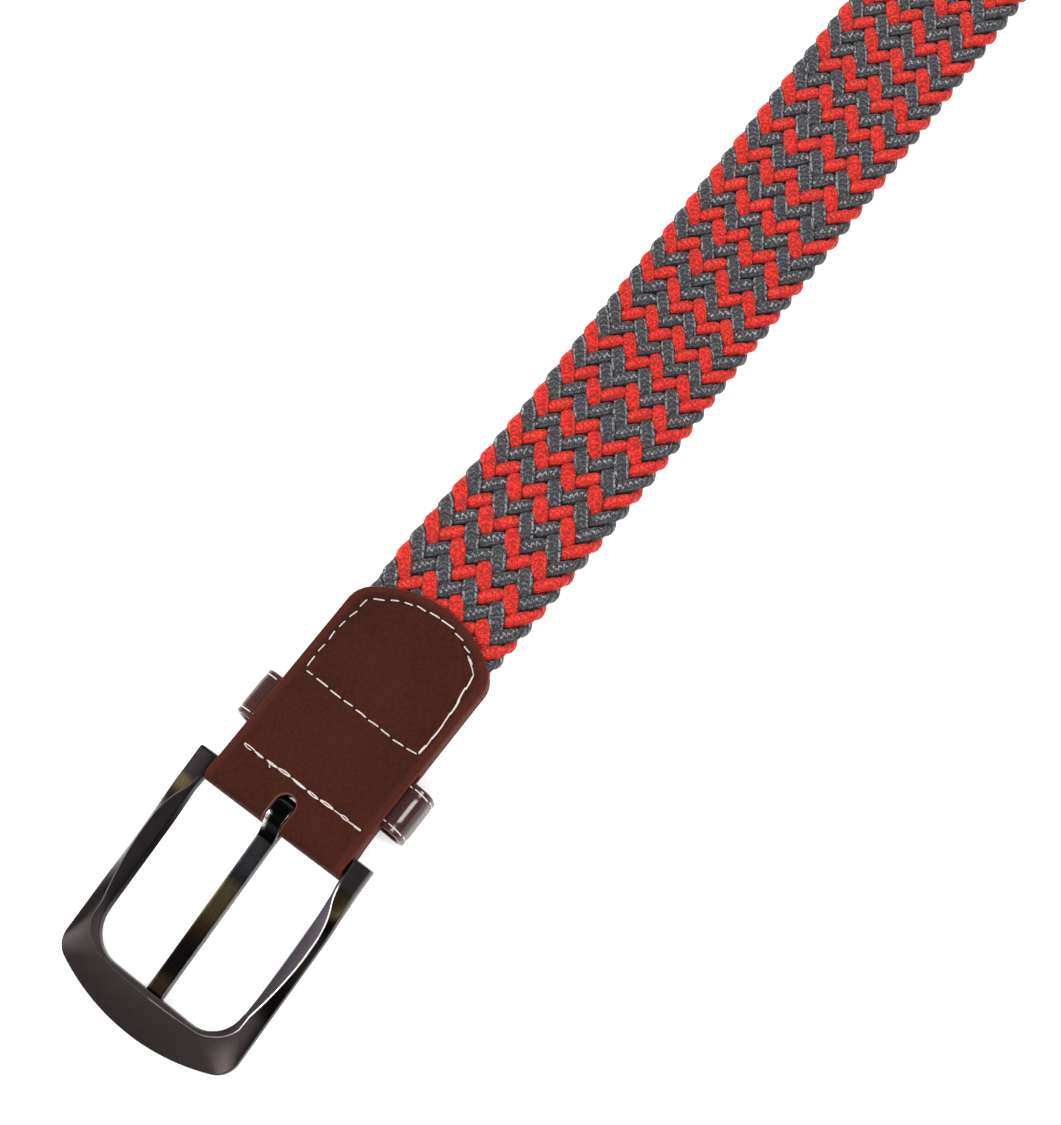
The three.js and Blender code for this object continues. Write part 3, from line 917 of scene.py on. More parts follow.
@dataclass
class Plait:
    """Flat plait of braided cords in red and grey, from inside the tab into the tip.

    One unit of a cord's course is one crossing. A cord crosses all others on its way to one edge and again
    on its way back. The stretch table maps even spacing to the real one in distance from the bar, and the
    lean table gives how far one edge runs ahead of the other for each millimetre across. The grip table
    gives the thickness where leather holds the plait.
    """

    strands: int = 17
    pitch: float = 4.15
    across: float = 1.9
    first_turn: float = 52.7
    turn_bow: float = 0.45
    lift: float = 0.86
    crown: float = 0.16
    flatness: float = 0.15
    narrow: float = 1.3
    wide: float = 1.7
    flat_share: float = 0.515
    leaf_end: float = 0.295
    leaf_swell: float = 0.115
    half_thickness: float = 0.9
    start: float = 43.5
    end: float = 984.0
    near: float = 266.0
    near_rings: float = 8
    far_rings: float = 3.5
    sides: int = 10
    mouth_sag: float = 0.25
    on_floor: float = 1.7
    drop: float = 56.0
    tip_rise: float = 1.15
    rise_run: float = 30.0
    in_mouth: float = 2.85
    settle: float = 0.65
    settle_run: float = 15.0
    open_edge: float = 14.3
    crossings: tuple = (
        0, 2.5, 4.5, 6.5, 8.5, 10.5, 12.5, 14.5, 17, 19.5, 21.5, 23.5, 25.5, 27.5, 29.5, 31.5, 34,
    )
    stretch: tuple = (
        (40.0, 40.0), (57.0, 58.6), (67.0, 69.8), (80.0, 84.6), (92.0, 98.0), (104.0, 111.2), (114.0, 121.7),
        (125.0, 132.3), (137.0, 143.6), (148.0, 154.8), (160.0, 167.5), (172.0, 180.5), (185.0, 194.6),
        (197.0, 207.4), (209.0, 219.7), (1020.0, 1060.0),
    )
    lean: tuple = (
        (40.0, 0.06), (57.0, 0.124), (80.0, 0.11), (108.0, 0.097), (135.0, 0.11), (160.0, 0.14),
        (197.0, 0.155), (209.0, 0.17), (240.0, 0.14), (910.0, 0.13), (950.0, 0.03),
    )
    full: float = 3.4
    grip: tuple = (
        (41, 1.3), (47.2, 1.9), (TAB_LENGTH, 2.6), (TAB_LENGTH + 6, 3.4), (TIP_MOUTH - 7.5, 3.4),
        (TIP_MOUTH - 3, 3.0), (TIP_MOUTH, 2.6), (TIP_MOUTH + 7.5, 1.9), (TIP_MOUTH + 15, 1.3),
    )

    def middle(self, at: Array) -> Array:
        """Height of the plait's middle over the floor.

        Args:
            at: distances from the bar.

        Returns:
            One height for each distance.
        """
        in_tab = BAR[2] + (CAVITY_TOP + CAVITY_FLOOR) / 2 - math.sin(TAB_PITCH) * at
        in_tab = in_tab - self.mouth_sag * smooth((at - TAB_FLARE) / (TAB_LENGTH - TAB_FLARE))
        body = in_tab + (self.on_floor - in_tab) * smooth((at - TAB_LENGTH) / self.drop)
        rise = self.on_floor + self.tip_rise * smooth(1 + (at - TIP_MOUTH) / self.rise_run)
        in_tip = self.in_mouth - self.settle * smooth((at - TIP_MOUTH) / self.settle_run)
        height = np.where(at < TIP_MOUTH - self.rise_run, body, np.where(at < TIP_MOUTH, rise, in_tip))
        return height + FLOOR_LIFT

    def squeeze(self, at: Array) -> Array:
        """Share of the full thickness, less where leather grips the plait."""
        places, thickness = np.array(self.grip).T
        return np.interp(at, places, thickness / self.full)

    def course(self, number: int) -> tuple[Array, Array, Array]:
        """Follows one cord along the plait.

        Args:
            number: place of the cord among its neighbours, from 0.

        Returns:
            Its crossings so far, its distance from the bar and its place across.
        """
        turn = self.first_turn + number * self.pitch
        half = self.pitch / 2
        even, real = np.array(self.stretch).T
        s0, s1, s2 = ((np.interp(x, real, even) - turn) / half for x in (self.start, self.near, self.end))
        fine = np.linspace(s0, s1, int((s1 - s0) * self.near_rings))
        coarse = np.linspace(s1, s2, int((s2 - s1) * self.far_rings))[1:]
        s = np.concatenate([fine, coarse])
        at = np.interp(turn + half * s, even, real)
        way = float(self.strands)
        local = np.mod(s, 2 * way)
        from_turn = np.minimum(np.mod(local, way), way - np.mod(local, way))
        side = np.where((local < way / 2) | (local >= 1.5 * way), 1.0, -1.0)
        c = self.across
        bow = self.turn_bow * c * np.clip(1 - from_turn / 3, 0, 1)
        return s, at, side * (way / 2 * c - np.sqrt((c * from_turn) ** 2 + bow ** 2))

    def cord(self, number: int) -> Surface:
        """Sweeps one cord through all its crossings and turns.

        Args:
            number: place of the cord among its neighbours, from 0.

        Returns:
            The cord's skin with its values of painted gap shade and steepness.
        """
        s, at, y = self.course(number)
        way = float(self.strands)
        local = np.mod(s, 2 * way)
        spacing = 2 * np.gradient(at, s)
        rising = smooth(0.5 + 0.5 * np.gradient(y, s) / self.across)
        places, leans = np.array(self.lean).T
        at = at + np.interp(at, places, leans) * y
        # over and under
        edges = np.array(self.crossings, float)
        segment = np.clip(np.searchsorted(edges, local, side="right") - 1, 0, len(edges) - 2)
        share = (local - edges[segment]) / (edges[segment + 1] - edges[segment])
        wave = np.sin(math.pi * share)
        floating = wave * math.sqrt(1 + self.flatness) / np.sqrt(wave ** 2 + self.flatness)
        sign = np.where(segment % 2 == 0, -1.0, 1.0)
        squeeze = self.squeeze(at)
        over = np.where(sign > 0, wave, 0.0)
        z = self.middle(at) + (sign * self.lift * floating + self.crown * rising * over) * squeeze
        path = along_belt(at, y * np.interp(squeeze, [0.5, 1], [0.975, 1.0]), z)
        # the cord turns over at each edge
        tangent = unit(np.gradient(path, axis=0))
        turns = np.floor(local / way) + 2 * np.floor(s / (2 * way))
        near = np.mod(local + way / 2, way) - way / 2
        angle = math.pi * (turns + np.where(near < 0, 1, 0) + smooth((near + 0.9) / 1.8) - 1)
        normal = np.stack([np.zeros_like(s), np.sin(angle), np.cos(angle)], -1)
        normal = unit(normal - tangent * np.sum(normal * tangent, -1, keepdims=True))
        # widths of flat and steep floats
        flat = np.clip(self.flat_share * spacing * np.abs(tangent[:, 1]), self.narrow, self.wide)
        flat = flat * (0.8 + 0.18 * floating)
        leaf = spacing * (self.leaf_end + self.leaf_swell * np.where(sign > 0, 0.5 * (wave + floating), 0.35))
        w = flat + (leaf - flat) * rising
        h = self.half_thickness * (0.88 + 0.12 * floating) * np.interp(squeeze, [0.38, 1], [0.5, 1.0])
        cos, sin = circle(self.sides)
        power = (0.8 + 0.1 * rising)[:, None]
        box_cos, box_sin = (np.sign(part) * np.abs(part) ** power for part in (cos, sin))
        rings = swept(path, np.cross(tangent, normal), normal, w[:, None] * box_cos, h[:, None] * box_sin)
        # painted shade where neighbours touch and where the cord dives
        beside = smooth((np.abs(cos)[None] - 0.7) / 0.26)
        free = smooth((np.abs(rings[..., 1]) - self.open_edge) / 1.4)
        dive_shade = smooth((0.25 - np.abs(floating)) / 0.5)[:, None]
        gap = np.maximum(beside, dive_shade * 0.7) * (1 - free)
        surface = Surface()
        surface.loft(rings, run_length(path), {"gap": gap, "steep": rising[:, None] * np.ones_like(gap)})
        return surface

    def dress(self, red: bpy.types.Material, grey: bpy.types.Material) -> None:
        """Builds all cords in place of the plain band.

        Args:
            red: finish of every second cord.
            grey: finish of the others.
        """
        for number in range(self.strands):
            is_grey = number % 2 == 0
            piece = self.cord(number).build(f"cord_{number + 1:02d}", grey if is_grey else red, Body.STRAP,
                                            "grey_cord" if is_grey else "red_cord")
            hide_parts("braid_band")


# Leather

@dataclass
class Ply:
    """One layer of leather cut to a plan and laid along a profile.

    Attributes:
        outline: closed plan in (length, across).
        profile: function from plan length and height over the middle to (x, z).
        hole: closed plan of a slot, or None.
        seams: stitched lines in the plan, each pressed into the skin.
        pits: plan places of needle holes.
        roll: how far the outer skin dips towards the outline.
        reach: how far from the outline the dip starts.
        flat_at: plan length round which the skin doesn't dip, as at a fold.
        flat: how far from there the skin doesn't dip.
        spacing: distance between the inner points.
        radius: rounding of the outline's edges.
        hole_radius: rounding of the hole's edges.
        edge_rows: depths of the rows of points within that rounding.
        edge_clear: how far behind it the inner points start.
        seam_clear: how far the inner points stay from a seam.
        seam_side: distance of the points beside a seam.
        pressed_depth: how deep a seam is pressed in.
        pressed_width: half the width of that groove.
        pit_depth: depth of a needle hole.
        pit_radius: its radius.
    """

    outline: Array
    profile: Profile
    hole: Array | None = None
    seams: tuple = ()
    pits: Array | tuple = ()
    roll: float = 0.3
    reach: float = 2.4
    flat_at: float = 0.0
    flat: float = 0.0
    spacing: float = 0.75
    radius: float = 0.36
    hole_radius: float = 0.2
    edge_rows: tuple = (0.0, 0.06, 0.18)
    edge_clear: float = 0.8
    seam_clear: float = 0.75
    seam_side: float = 0.4
    pressed_depth: float = 0.16
    pressed_width: float = 0.42
    pit_depth: float = 0.12
    pit_radius: float = 0.34

    def points(self) -> tuple[list[Array], Array]:
        """Spreads points over the plan.

        Returns:
            Rings along the outline and the hole, and all points of the plan's mesh.
        """
        depths = (*self.edge_rows, self.radius, self.radius + 0.5)
        rings = [inset(self.outline, depth) for depth in depths]
        if self.hole is not None:
            rings += [inset(self.hole, -depth) for depth in depths]
        low, high = self.outline.min(0), self.outline.max(0)
        gx = np.arange(low[0], high[0], self.spacing)
        gy = np.arange(low[1], high[1], self.spacing * 0.87)
        grid = np.array([(x + (j % 2) * self.spacing / 2, y) for j, y in enumerate(gy) for x in gx])
        grid = grid[inside(grid, self.outline)]
        keep = loop_distance(grid, self.outline) > self.radius + self.edge_clear
        if self.hole is not None:
            keep &= ~inside(grid, self.hole)
            keep &= loop_distance(grid, self.hole) > self.radius + self.edge_clear
        grid = grid[keep]
        extra = []
        for seam in self.seams:
            side = unit(np.gradient(seam, axis=0))[:, ::-1] * [-1, 1]
            grid = grid[line_distance(grid, seam) > self.seam_clear]
            extra += [seam, seam + side * self.seam_side, seam - side * self.seam_side]
        return rings, np.concatenate(rings + [grid] + extra)

    def layout(self) -> tuple[Array, Array, Array, Array]:
        """Cuts the plan into triangles.

        Returns:
            Points, triangles, and each point's distance from the outline and from the hole.
        """
        rings, points = self.points()
        edges, start = [], 0
        for ring in rings:
            n = len(ring)
            edges += [(start + k, start + (k + 1) % n) for k in range(n)]
            start += n
        verts, _, faces, _, _, _ = delaunay_2d_cdt([Vector(p) for p in points], edges, [], 0, 1e-5)
        verts = np.array([tuple(v) for v in verts])
        faces = np.array([f for f in faces if len(f) == 3])
        centre = verts[faces].mean(1)
        good = inside(centre, self.outline)
        if self.hole is not None:
            good &= ~inside(centre, self.hole)
        faces = faces[good]
        used = np.unique(faces)
        renumber = np.full(len(verts), -1)
        renumber[used] = np.arange(len(used))
        verts, faces = verts[used], renumber[faces]
        from_hole = np.full(len(verts), FAR) if self.hole is None else loop_distance(verts, self.hole)
        return verts, faces, loop_distance(verts, self.outline), from_hole

    def add_to(self, surface: Surface, place: Place) -> None:
        """Adds the ply's two skins and its cut edges.

        Args:
            surface: gathers the faces.
            place: puts (x, y, z) into the part's frame.
        """
        verts, faces, distance, from_hole = self.layout()
        a, b, c = (verts[faces[:, k]] for k in range(3))
        clockwise = np.cross(b - a, c - a) < 0
        faces[clockwise] = faces[clockwise][:, ::-1]
        drop = np.zeros(len(verts))
        for radius, away in ((self.radius, distance), (self.hole_radius, from_hole)):
            over = np.maximum(radius - away, 0)
            drop += radius - np.sqrt(np.maximum(radius ** 2 - over ** 2, 0))
        pressed, pit = np.zeros(len(verts)), np.zeros(len(verts))
        for seam in self.seams:
            near = np.exp(-(line_distance(verts, seam) / self.pressed_width) ** 2)
            pressed = np.maximum(pressed, self.pressed_depth * near)
        for spot in self.pits:
            pit = np.maximum(pit, np.exp(-(np.linalg.norm(verts - spot, axis=1) / self.pit_radius) ** 2))
        from_fold = (self.flat - np.abs(verts[:, 0] - self.flat_at)) / 2.0
        rolled = self.roll * (1 - smooth(distance / self.reach)) * (1 - smooth(from_fold))
        top = PLY / 2 - drop - rolled - pressed - self.pit_depth * pit
        bottom = -PLY / 2 + drop
        directed = np.concatenate([faces[:, [0, 1]], faces[:, [1, 2]], faces[:, [2, 0]]])
        keys = {(int(i), int(j)) for i, j in directed}
        border = np.array([(i, j) for i, j in keys if (j, i) not in keys])
        count = len(verts)
        sheets = []
        for height in (top, bottom):
            x, z = self.profile(verts[:, 0], height)
            sheets.append(place(x, verts[:, 1], z))
        walls = np.concatenate([
            np.stack([border[:, 1], border[:, 0], border[:, 0] + count], -1),
            np.stack([border[:, 1], border[:, 0] + count, border[:, 1] + count], -1),
        ])
        all_faces = np.concatenate([faces, faces[:, ::-1] + count, walls])
        rim = 1 - smooth((from_hole - 0.05) / 0.2)
        surface.patch(np.concatenate(sheets), all_faces, np.concatenate([verts, verts]) * TEXTURE_SCALE,
                      {"edge": np.concatenate([distance, distance]), "rim": np.concatenate([rim, 0 * rim]),
                       "pit": np.concatenate([pit, 0 * pit])})


def edge_core(surface: Surface, rim: Array, low: Height, high: Height, place: Place) -> None:
    """Adds the painted filling between two plies along part of their outline.

    Args:
        surface: gathers the faces.
        rim: plan points along the outline.
        low: function from plan length to the filling's underside.
        high: function from plan length to its top.
        place: puts (x, y, z) into the part's frame.
    """
    tangent = unit(np.gradient(rim, axis=0))
    inward = np.stack([-tangent[:, 1], tangent[:, 0]], -1)
    middle = rim.mean(0) * [1, 0]
    if np.sum((middle - rim) * inward) < 0:
        inward = -inward
    z0, z1 = low(rim[:, 0]), high(rim[:, 0])
    # how far in from the rim, and share of the height
    section = (
        (1.3, -0.1), (0.3, -0.1), (0.06, 0.0), (0.02, 0.3), (0.02, 0.7), (0.06, 1.0), (0.3, 1.1),
        (1.3, 1.1),
    )
    rings = []
    for reach, share in section:
        plan = rim + inward * reach
        rings.append(place(plan[:, 0], plan[:, 1], z0 + (z1 - z0) * share))
    rings = np.stack(rings, 1)
    surface.loft(rings, values={"edge": np.zeros(rings.shape[:2])})


def add_thread(surface: Surface, path: Array, out: Array, radius: float) -> None:
    """Adds one thread with tapered ends.

    Args:
        surface: gathers the faces.
        path: middle of the thread.
        out: outward direction at each point.
        radius: half the thread's thickness.
    """
    tangent = unit(np.gradient(path, axis=0))
    up = unit(out - tangent * np.sum(out * tangent, -1, keepdims=True))
    share = np.linspace(0, 1, len(path))
    r = (radius * np.clip(np.sin(math.pi * (0.06 + 0.88 * share)) * 2.6, 0.35, 1))[:, None]
    cos, sin = circle(8)
    surface.loft(swept(path, np.cross(tangent, up), up, r * cos, r * sin * 0.85), share * 3)


@dataclass
class Stitching:
    """Row of thread stitches along a line on a surface.

    Attributes:
        line: points in the part's frame.
        outward: outward direction of each point.
        stitch: length of one stitch with its gap.
        gap: gap between stitches.
        thickness: thread thickness.
        jitter: how far a stitch may stand askew.
    """

    line: Array
    outward: Array
    stitch: float = 3.35
    gap: float = 0.5
    thickness: float = 0.38
    jitter: float = 0.12

    def add_to(self, surface: Surface) -> None:
        """Adds every stitch of the row.

        Args:
            surface: gathers the faces.
        """
        length = run_length(self.line)
        count = max(int(round(length[-1] / self.stitch)), 1)
        step = length[-1] / count
        share = np.linspace(0, 1, 11)
        arch = np.minimum(1, np.sin(math.pi * share) * 2.2)
        for k in range(count):
            low = k * step + self.gap / 2 + RNG.uniform(-0.1, 0.1)
            high = (k + 1) * step - self.gap / 2 + RNG.uniform(-0.1, 0.1)
            at = np.linspace(low, high, 11)
            path = np.stack([np.interp(at, length, self.line[:, i]) for i in range(3)], -1)
            out = unit(np.stack([np.interp(at, length, self.outward[:, i]) for i in range(3)], -1))
            side = np.cross(out, unit(np.gradient(path, axis=0)))
            lean = RNG.uniform(-1, 1) * self.jitter
            path = path + side * (lean * (share - 0.5))[:, None]
            radius = self.thickness / 2
            path = path + out * ((arch - 0.75) * radius * 1.25)[:, None]
            add_thread(surface, path, out, radius)


@dataclass
class BuckleTab:
    """Leather strip folded round the buckle's bar and stitched over the plait's end.

    Its plan length is 0 where the upper ply meets the fold, and runs towards the tip on the upper ply. The
    threads give start and end in plan length and across, thickness, and how far the middle bows towards
    the tip.
    """

    mouth_lift: float = 0.4
    mouth_drop: float = 0.9
    fold_blend: float = 8.0
    slot_half: float = 2.3
    slot_back: float = 4.6
    slot_front: float = 5.6
    fold_corner: float = 0.72
    front_seam: float = 7.3
    box_start: float = 25.9
    side_core: float = 16.25
    core_runs: tuple = ((1.6, 11.05), (22.35, 60))
    threads: tuple = (
        (7.38, 14.8, 7.3, 11.7, 0.25, 0.12), (7.25, 14.7, 7.0, 12.6, 0.22, -0.15),
        (7.25, 11.9, 7.15, 9.6, 0.34, 0.08), (7.2, 11.4, 7.15, 9.8, 0.28, -0.12),
        (7.3, 8.9, 7.3, 5.9, 0.30, 0.10), (7.2, 8.5, 7.25, 6.2, 0.24, -0.12),
        (7.1, 7.9, 6.4, 7.3, 0.30, 0.0), (7.4, 5.9, 7.5, 2.7, 0.29, 0.19),
        (7.3, 5.8, 7.4, 2.7, 0.29, -0.17), (7.4, 2.5, 7.25, -1.5, 0.28, 0.12),
        (7.3, 1.9, 7.2, -1.3, 0.24, -0.10), (7.3, -1.8, 7.15, -4.7, 0.27, 0.16),
        (7.2, -1.8, 7.1, -4.7, 0.27, -0.14), (7.3, -5.0, 7.35, -8.4, 0.29, 0.19),
        (7.25, -5.0, 7.3, -8.5, 0.29, -0.17), (7.3, -8.6, 7.3, -10.7, 0.26, 0.05),
        (7.4, -10.3, 7.35, -12.3, 0.26, 0.17), (7.3, -10.3, 7.2, -12.3, 0.26, -0.17),
        (7.2, -12.3, 7.2, -14.1, 0.29, 0.05), (7.2, -13.8, 7.2, -15.5, 0.44, 0.0),
        (26.5, 14.3, 26.5, 12.6, 0.30, 0.0), (26.4, 11.7, 26.3, 8.4, 0.32, 0.0),
        (26.1, 7.8, 26.0, 4.9, 0.31, 0.0), (26.0, 4.2, 26.1, 1.8, 0.31, 0.0),
        (25.9, 1.0, 25.8, -1.8, 0.31, 0.05), (25.7, -2.4, 25.8, -5.0, 0.31, 0.0),
        (25.7, -5.6, 25.6, -8.1, 0.31, 0.0), (25.4, -8.9, 25.6, -11.6, 0.30, 0.05),
        (25.6, -12.3, 25.9, -14.7, 0.30, 0.0), (27.3, 14.8, 29.9, 14.9, 0.30, 0.0),
        (31.0, 15.0, 33.1, 14.8, 0.29, 0.0), (34.3, 14.8, 36.5, 15.0, 0.30, 0.0),
        (37.6, 14.8, 39.4, 14.6, 0.29, 0.0), (40.5, 14.5, 42.5, 13.9, 0.30, 0.0),
        (43.5, 14.1, 45.6, 13.8, 0.30, 0.0), (46.4, 12.9, 47.5, 10.7, 0.30, 0.0),
        (48.2, 9.8, 49.1, 8.2, 0.30, 0.0), (49.5, 7.2, 50.0, 5.3, 0.30, 0.0),
        (50.4, 4.6, 50.5, 2.3, 0.31, 0.0), (50.8, 1.6, 51.0, -0.9, 0.32, 0.0),
        (50.9, -1.3, 50.9, -4.7, 0.31, 0.0), (50.3, -5.3, 50.0, -7.7, 0.30, 0.0),
        (49.2, -8.5, 48.7, -10.4, 0.30, 0.0), (48.0, -10.3, 47.0, -12.3, 0.26, 0.1),
        (47.7, -10.7, 45.3, -14.0, 0.24, 0.2), (45.4, -13.8, 42.1, -14.4, 0.34, 0.1),
        (42.6, -14.1, 39.0, -14.7, 0.38, 0.0), (39.8, -14.7, 36.2, -15.1, 0.40, 0.1),
        (36.8, -14.9, 33.5, -15.2, 0.32, 0.0), (34.2, -15.2, 29.8, -15.2, 0.34, 0.1),
        (30.6, -15.1, 28.2, -15.3, 0.28, 0.0), (28.5, -15.2, 26.2, -15.0, 0.52, 0.0),
    )
    fold: float = math.pi * (FOLD_RADIUS - PLY / 2)
    line: tuple = field(init=False)

    def __post_init__(self) -> None:
        """Draws the strip's middle line."""
        self.line = self.path()

    def opening(self, x: Array) -> Array:
        """Share of the mouth's flare at a distance from the bar."""
        return smooth((x - TAB_FLARE) / (TAB_LENGTH - TAB_FLARE))

    def top(self, x: Array) -> Array:
        """Height of the upper ply's outer face over the bar's axis."""
        return FOLD_RADIUS + self.mouth_lift * self.opening(x)

    def underside(self, x: Array) -> Array:
        """Height of the lower ply's outer face over the bar's axis."""
        blend = -FOLD_RADIUS + (CAVITY_FLOOR - PLY + FOLD_RADIUS) * smooth(x / self.fold_blend)
        return blend - self.mouth_drop * self.opening(x)

    def core_low(self, x: Array) -> Array:
        """Underside of the filling between the plies."""
        return self.underside(x) + PLY - 0.05

    def core_high(self, x: Array) -> Array:
        """Top of the filling between the plies."""
        return self.top(x) - PLY + 0.05

    def path(self) -> tuple[Array, Array, Array]:
        """Follows the folded strip's middle from the lower mouth round to the upper.

        Returns:
            Plan length, x and z of its points.
        """
        radius = FOLD_RADIUS - PLY / 2
        x = np.arange(0, TAB_LENGTH + 2, 0.25)
        lower = np.stack([x[::-1], self.underside(x[::-1]) + PLY / 2], -1)
        angle = np.linspace(-math.pi / 2, -1.5 * math.pi, 31)[1:-1]
        bend = radius * np.stack([np.sign(f) * np.abs(f) ** self.fold_corner
                                  for f in (np.cos(angle), np.sin(angle))], -1)
        upper = np.stack([x, self.top(x) - PLY / 2], -1)
        line = np.concatenate([lower, bend, upper])
        length = run_length(line)
        length -= length[len(lower) + len(bend)]
        return length, line[:, 0], line[:, 1]

    def profile(self, q: Array, height: Array) -> tuple[Array, Array]:
        """Lays the plan along the folded strip.

        Args:
            q: plan lengths.
            height: heights over the strip's middle.

        Returns:
            Distance x from the bar and height z over its axis.
        """
        length, x, z = self.line
        tx, tz = np.gradient(x, length), np.gradient(z, length)
        px, pz = np.interp(q, length, x), np.interp(q, length, z)
        nx, nz = np.interp(q, length, -tz), np.interp(q, length, tx)
        scale = np.hypot(nx, nz)
        return px + nx / scale * height, pz + nz / scale * height

    def spot(self, q: Array, y: Array, height: float) -> Array:
        """Point over the strip's middle, in the part's frame."""
        x, z = self.profile(q, np.full_like(q, height))
        return on_tab(x, y, z)

    def outline(self, upper: Array) -> Array:
        """Closed plan of the whole strip.

        Args:
            upper: plan of the upper end.

        Returns:
            Plan points of the strip.
        """
        reach = -self.line[0][0] - 2.0
        lower = end_outline(reach - self.fold)
        lower = lower[::-1] * [-1, 1] - [self.fold, 0]
        sides = np.linspace(-self.fold, 0, 14)[1:-1]
        right = np.stack([sides[::-1], np.full(12, -HALF_LEATHER)], -1)
        left = np.stack([sides, np.full(12, HALF_LEATHER)], -1)
        return np.concatenate([upper, right, lower, left])

    def slot(self) -> Array:
        """Draws the prong's slot.

        Returns:
            Plan points of the closed slot.
        """
        slot_low = -self.fold - self.slot_front
        half = self.slot_half
        arc = np.linspace(-math.pi / 2, math.pi / 2, 15)
        nose = np.stack([self.slot_back - half + half * np.cos(arc), half * np.sin(arc)], -1)
        tail = np.stack([slot_low + half - half * np.cos(arc), -half * np.sin(arc)], -1)
        run = np.linspace(self.slot_back - half, slot_low + half, 36)[1:-1]
        return np.concatenate([nose, np.stack([run, np.full_like(run, half)], -1), tail,
                               np.stack([run[::-1], np.full_like(run, -half)], -1)])

    def seam_lines(self) -> tuple[Array, Array]:
        """Draws the stitching on the upper ply.

        Returns:
            Its front row and its box, in plan length and across.
        """
        front = np.array([(self.front_seam, 14.6), (self.front_seam - 0.15, -15.4)])
        s = self.box_start
        box = np.array([
            (s, 14.6), (s - 0.3, -15.0), (s - 0.1, -15.1), (34.6, -15.0), (41.5, -14.7), (45.3, -14.1),
            (46.9, -12.4), (48.4, -10.5), (50.0, -7.7), (50.9, -4.4), (51.1, -0.8), (50.8, 2.6), (50.1, 5.6),
            (49.1, 8.3), (48.2, 10.0), (47.0, 11.9), (45.4, 13.7), (43.0, 14.0), (39.3, 14.5), (34.6, 14.8),
            (s, 14.7),
        ])
        return front, box

    def stitch(self, surface: Surface) -> None:
        """Adds the threads seen on the upper ply, and plain rows underneath.

        Args:
            surface: gathers the faces.
        """
        for x0, y0, x1, y1, thickness, bow in self.threads:
            share = np.linspace(0, 1, 13)
            q, y = x0 + (x1 - x0) * share, y0 + (y1 - y0) * share
            at = self.spot(q, y, PLY / 2 - 0.14)
            out = unit(self.spot(q, y, PLY / 2 + 1.0) - at)
            arch = np.minimum(1, np.sin(math.pi * share) * 2.0)
            side = unit(np.cross(out, np.gradient(at, axis=0)))
            side = side * np.where(side[:, :1] < 0, -1, 1)
            bent = (bow + RNG.uniform(-0.04, 0.04)) * np.sin(math.pi * share)
            path = at + out * ((arch - 0.6) * thickness * 0.55)[:, None] + side * bent[:, None]
            add_thread(surface, path, out, thickness / 2)
        for line, thickness in zip(self.seam_lines(), (0.42, 0.31)):
            dense = resample(line, 0.4)
            at = self.spot(-self.fold - dense[:, 0], dense[:, 1], PLY / 2 - 0.12)
            out = self.spot(-self.fold - dense[:, 0], dense[:, 1], PLY / 2 + 1.0) - at
            Stitching(at, unit(out), stitch=2.9, gap=0.55, thickness=thickness).add_to(surface)

    def dress(self, leather: bpy.types.Material, thread: bpy.types.Material) -> None:
        """Builds the folded leather, its painted edges and its stitches.

        Args:
            leather: finish of the strip.
            thread: finish of the stitches.
        """
        upper = end_outline(TAB_LENGTH)
        rows = [resample(line, 0.45) for line in self.seam_lines()]
        under = [np.stack([-self.fold - r[:, 0], r[:, 1]], -1) for r in rows]
        threads = np.array(self.threads)
        pits = np.concatenate([threads[:, :2], threads[:, 2:4]])
        surface = Surface()
        Ply(self.outline(upper), self.profile, self.slot(), tuple(rows + under), pits, flat_at=-self.fold / 2,
            flat=self.fold / 2 + 3.0).add_to(surface, on_tab)
        for sign in (1, -1):
            edge = upper[upper[:, 1] * sign > self.side_core]
            edge = edge[np.argsort(edge[:, 0])]
            for start, end in self.core_runs:
                part = edge[(edge[:, 0] >= start) & (edge[:, 0] <= end)]
                edge_core(surface, part, self.core_low, self.core_high, on_tab)
        piece = surface.build("tab_leather", leather, Body.STRAP, "leather")
        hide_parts("leather_tab")
        stitches = Surface()
        self.stitch(stitches)
        stitches.build("tab_stitches", thread, Body.STRAP, "thread")


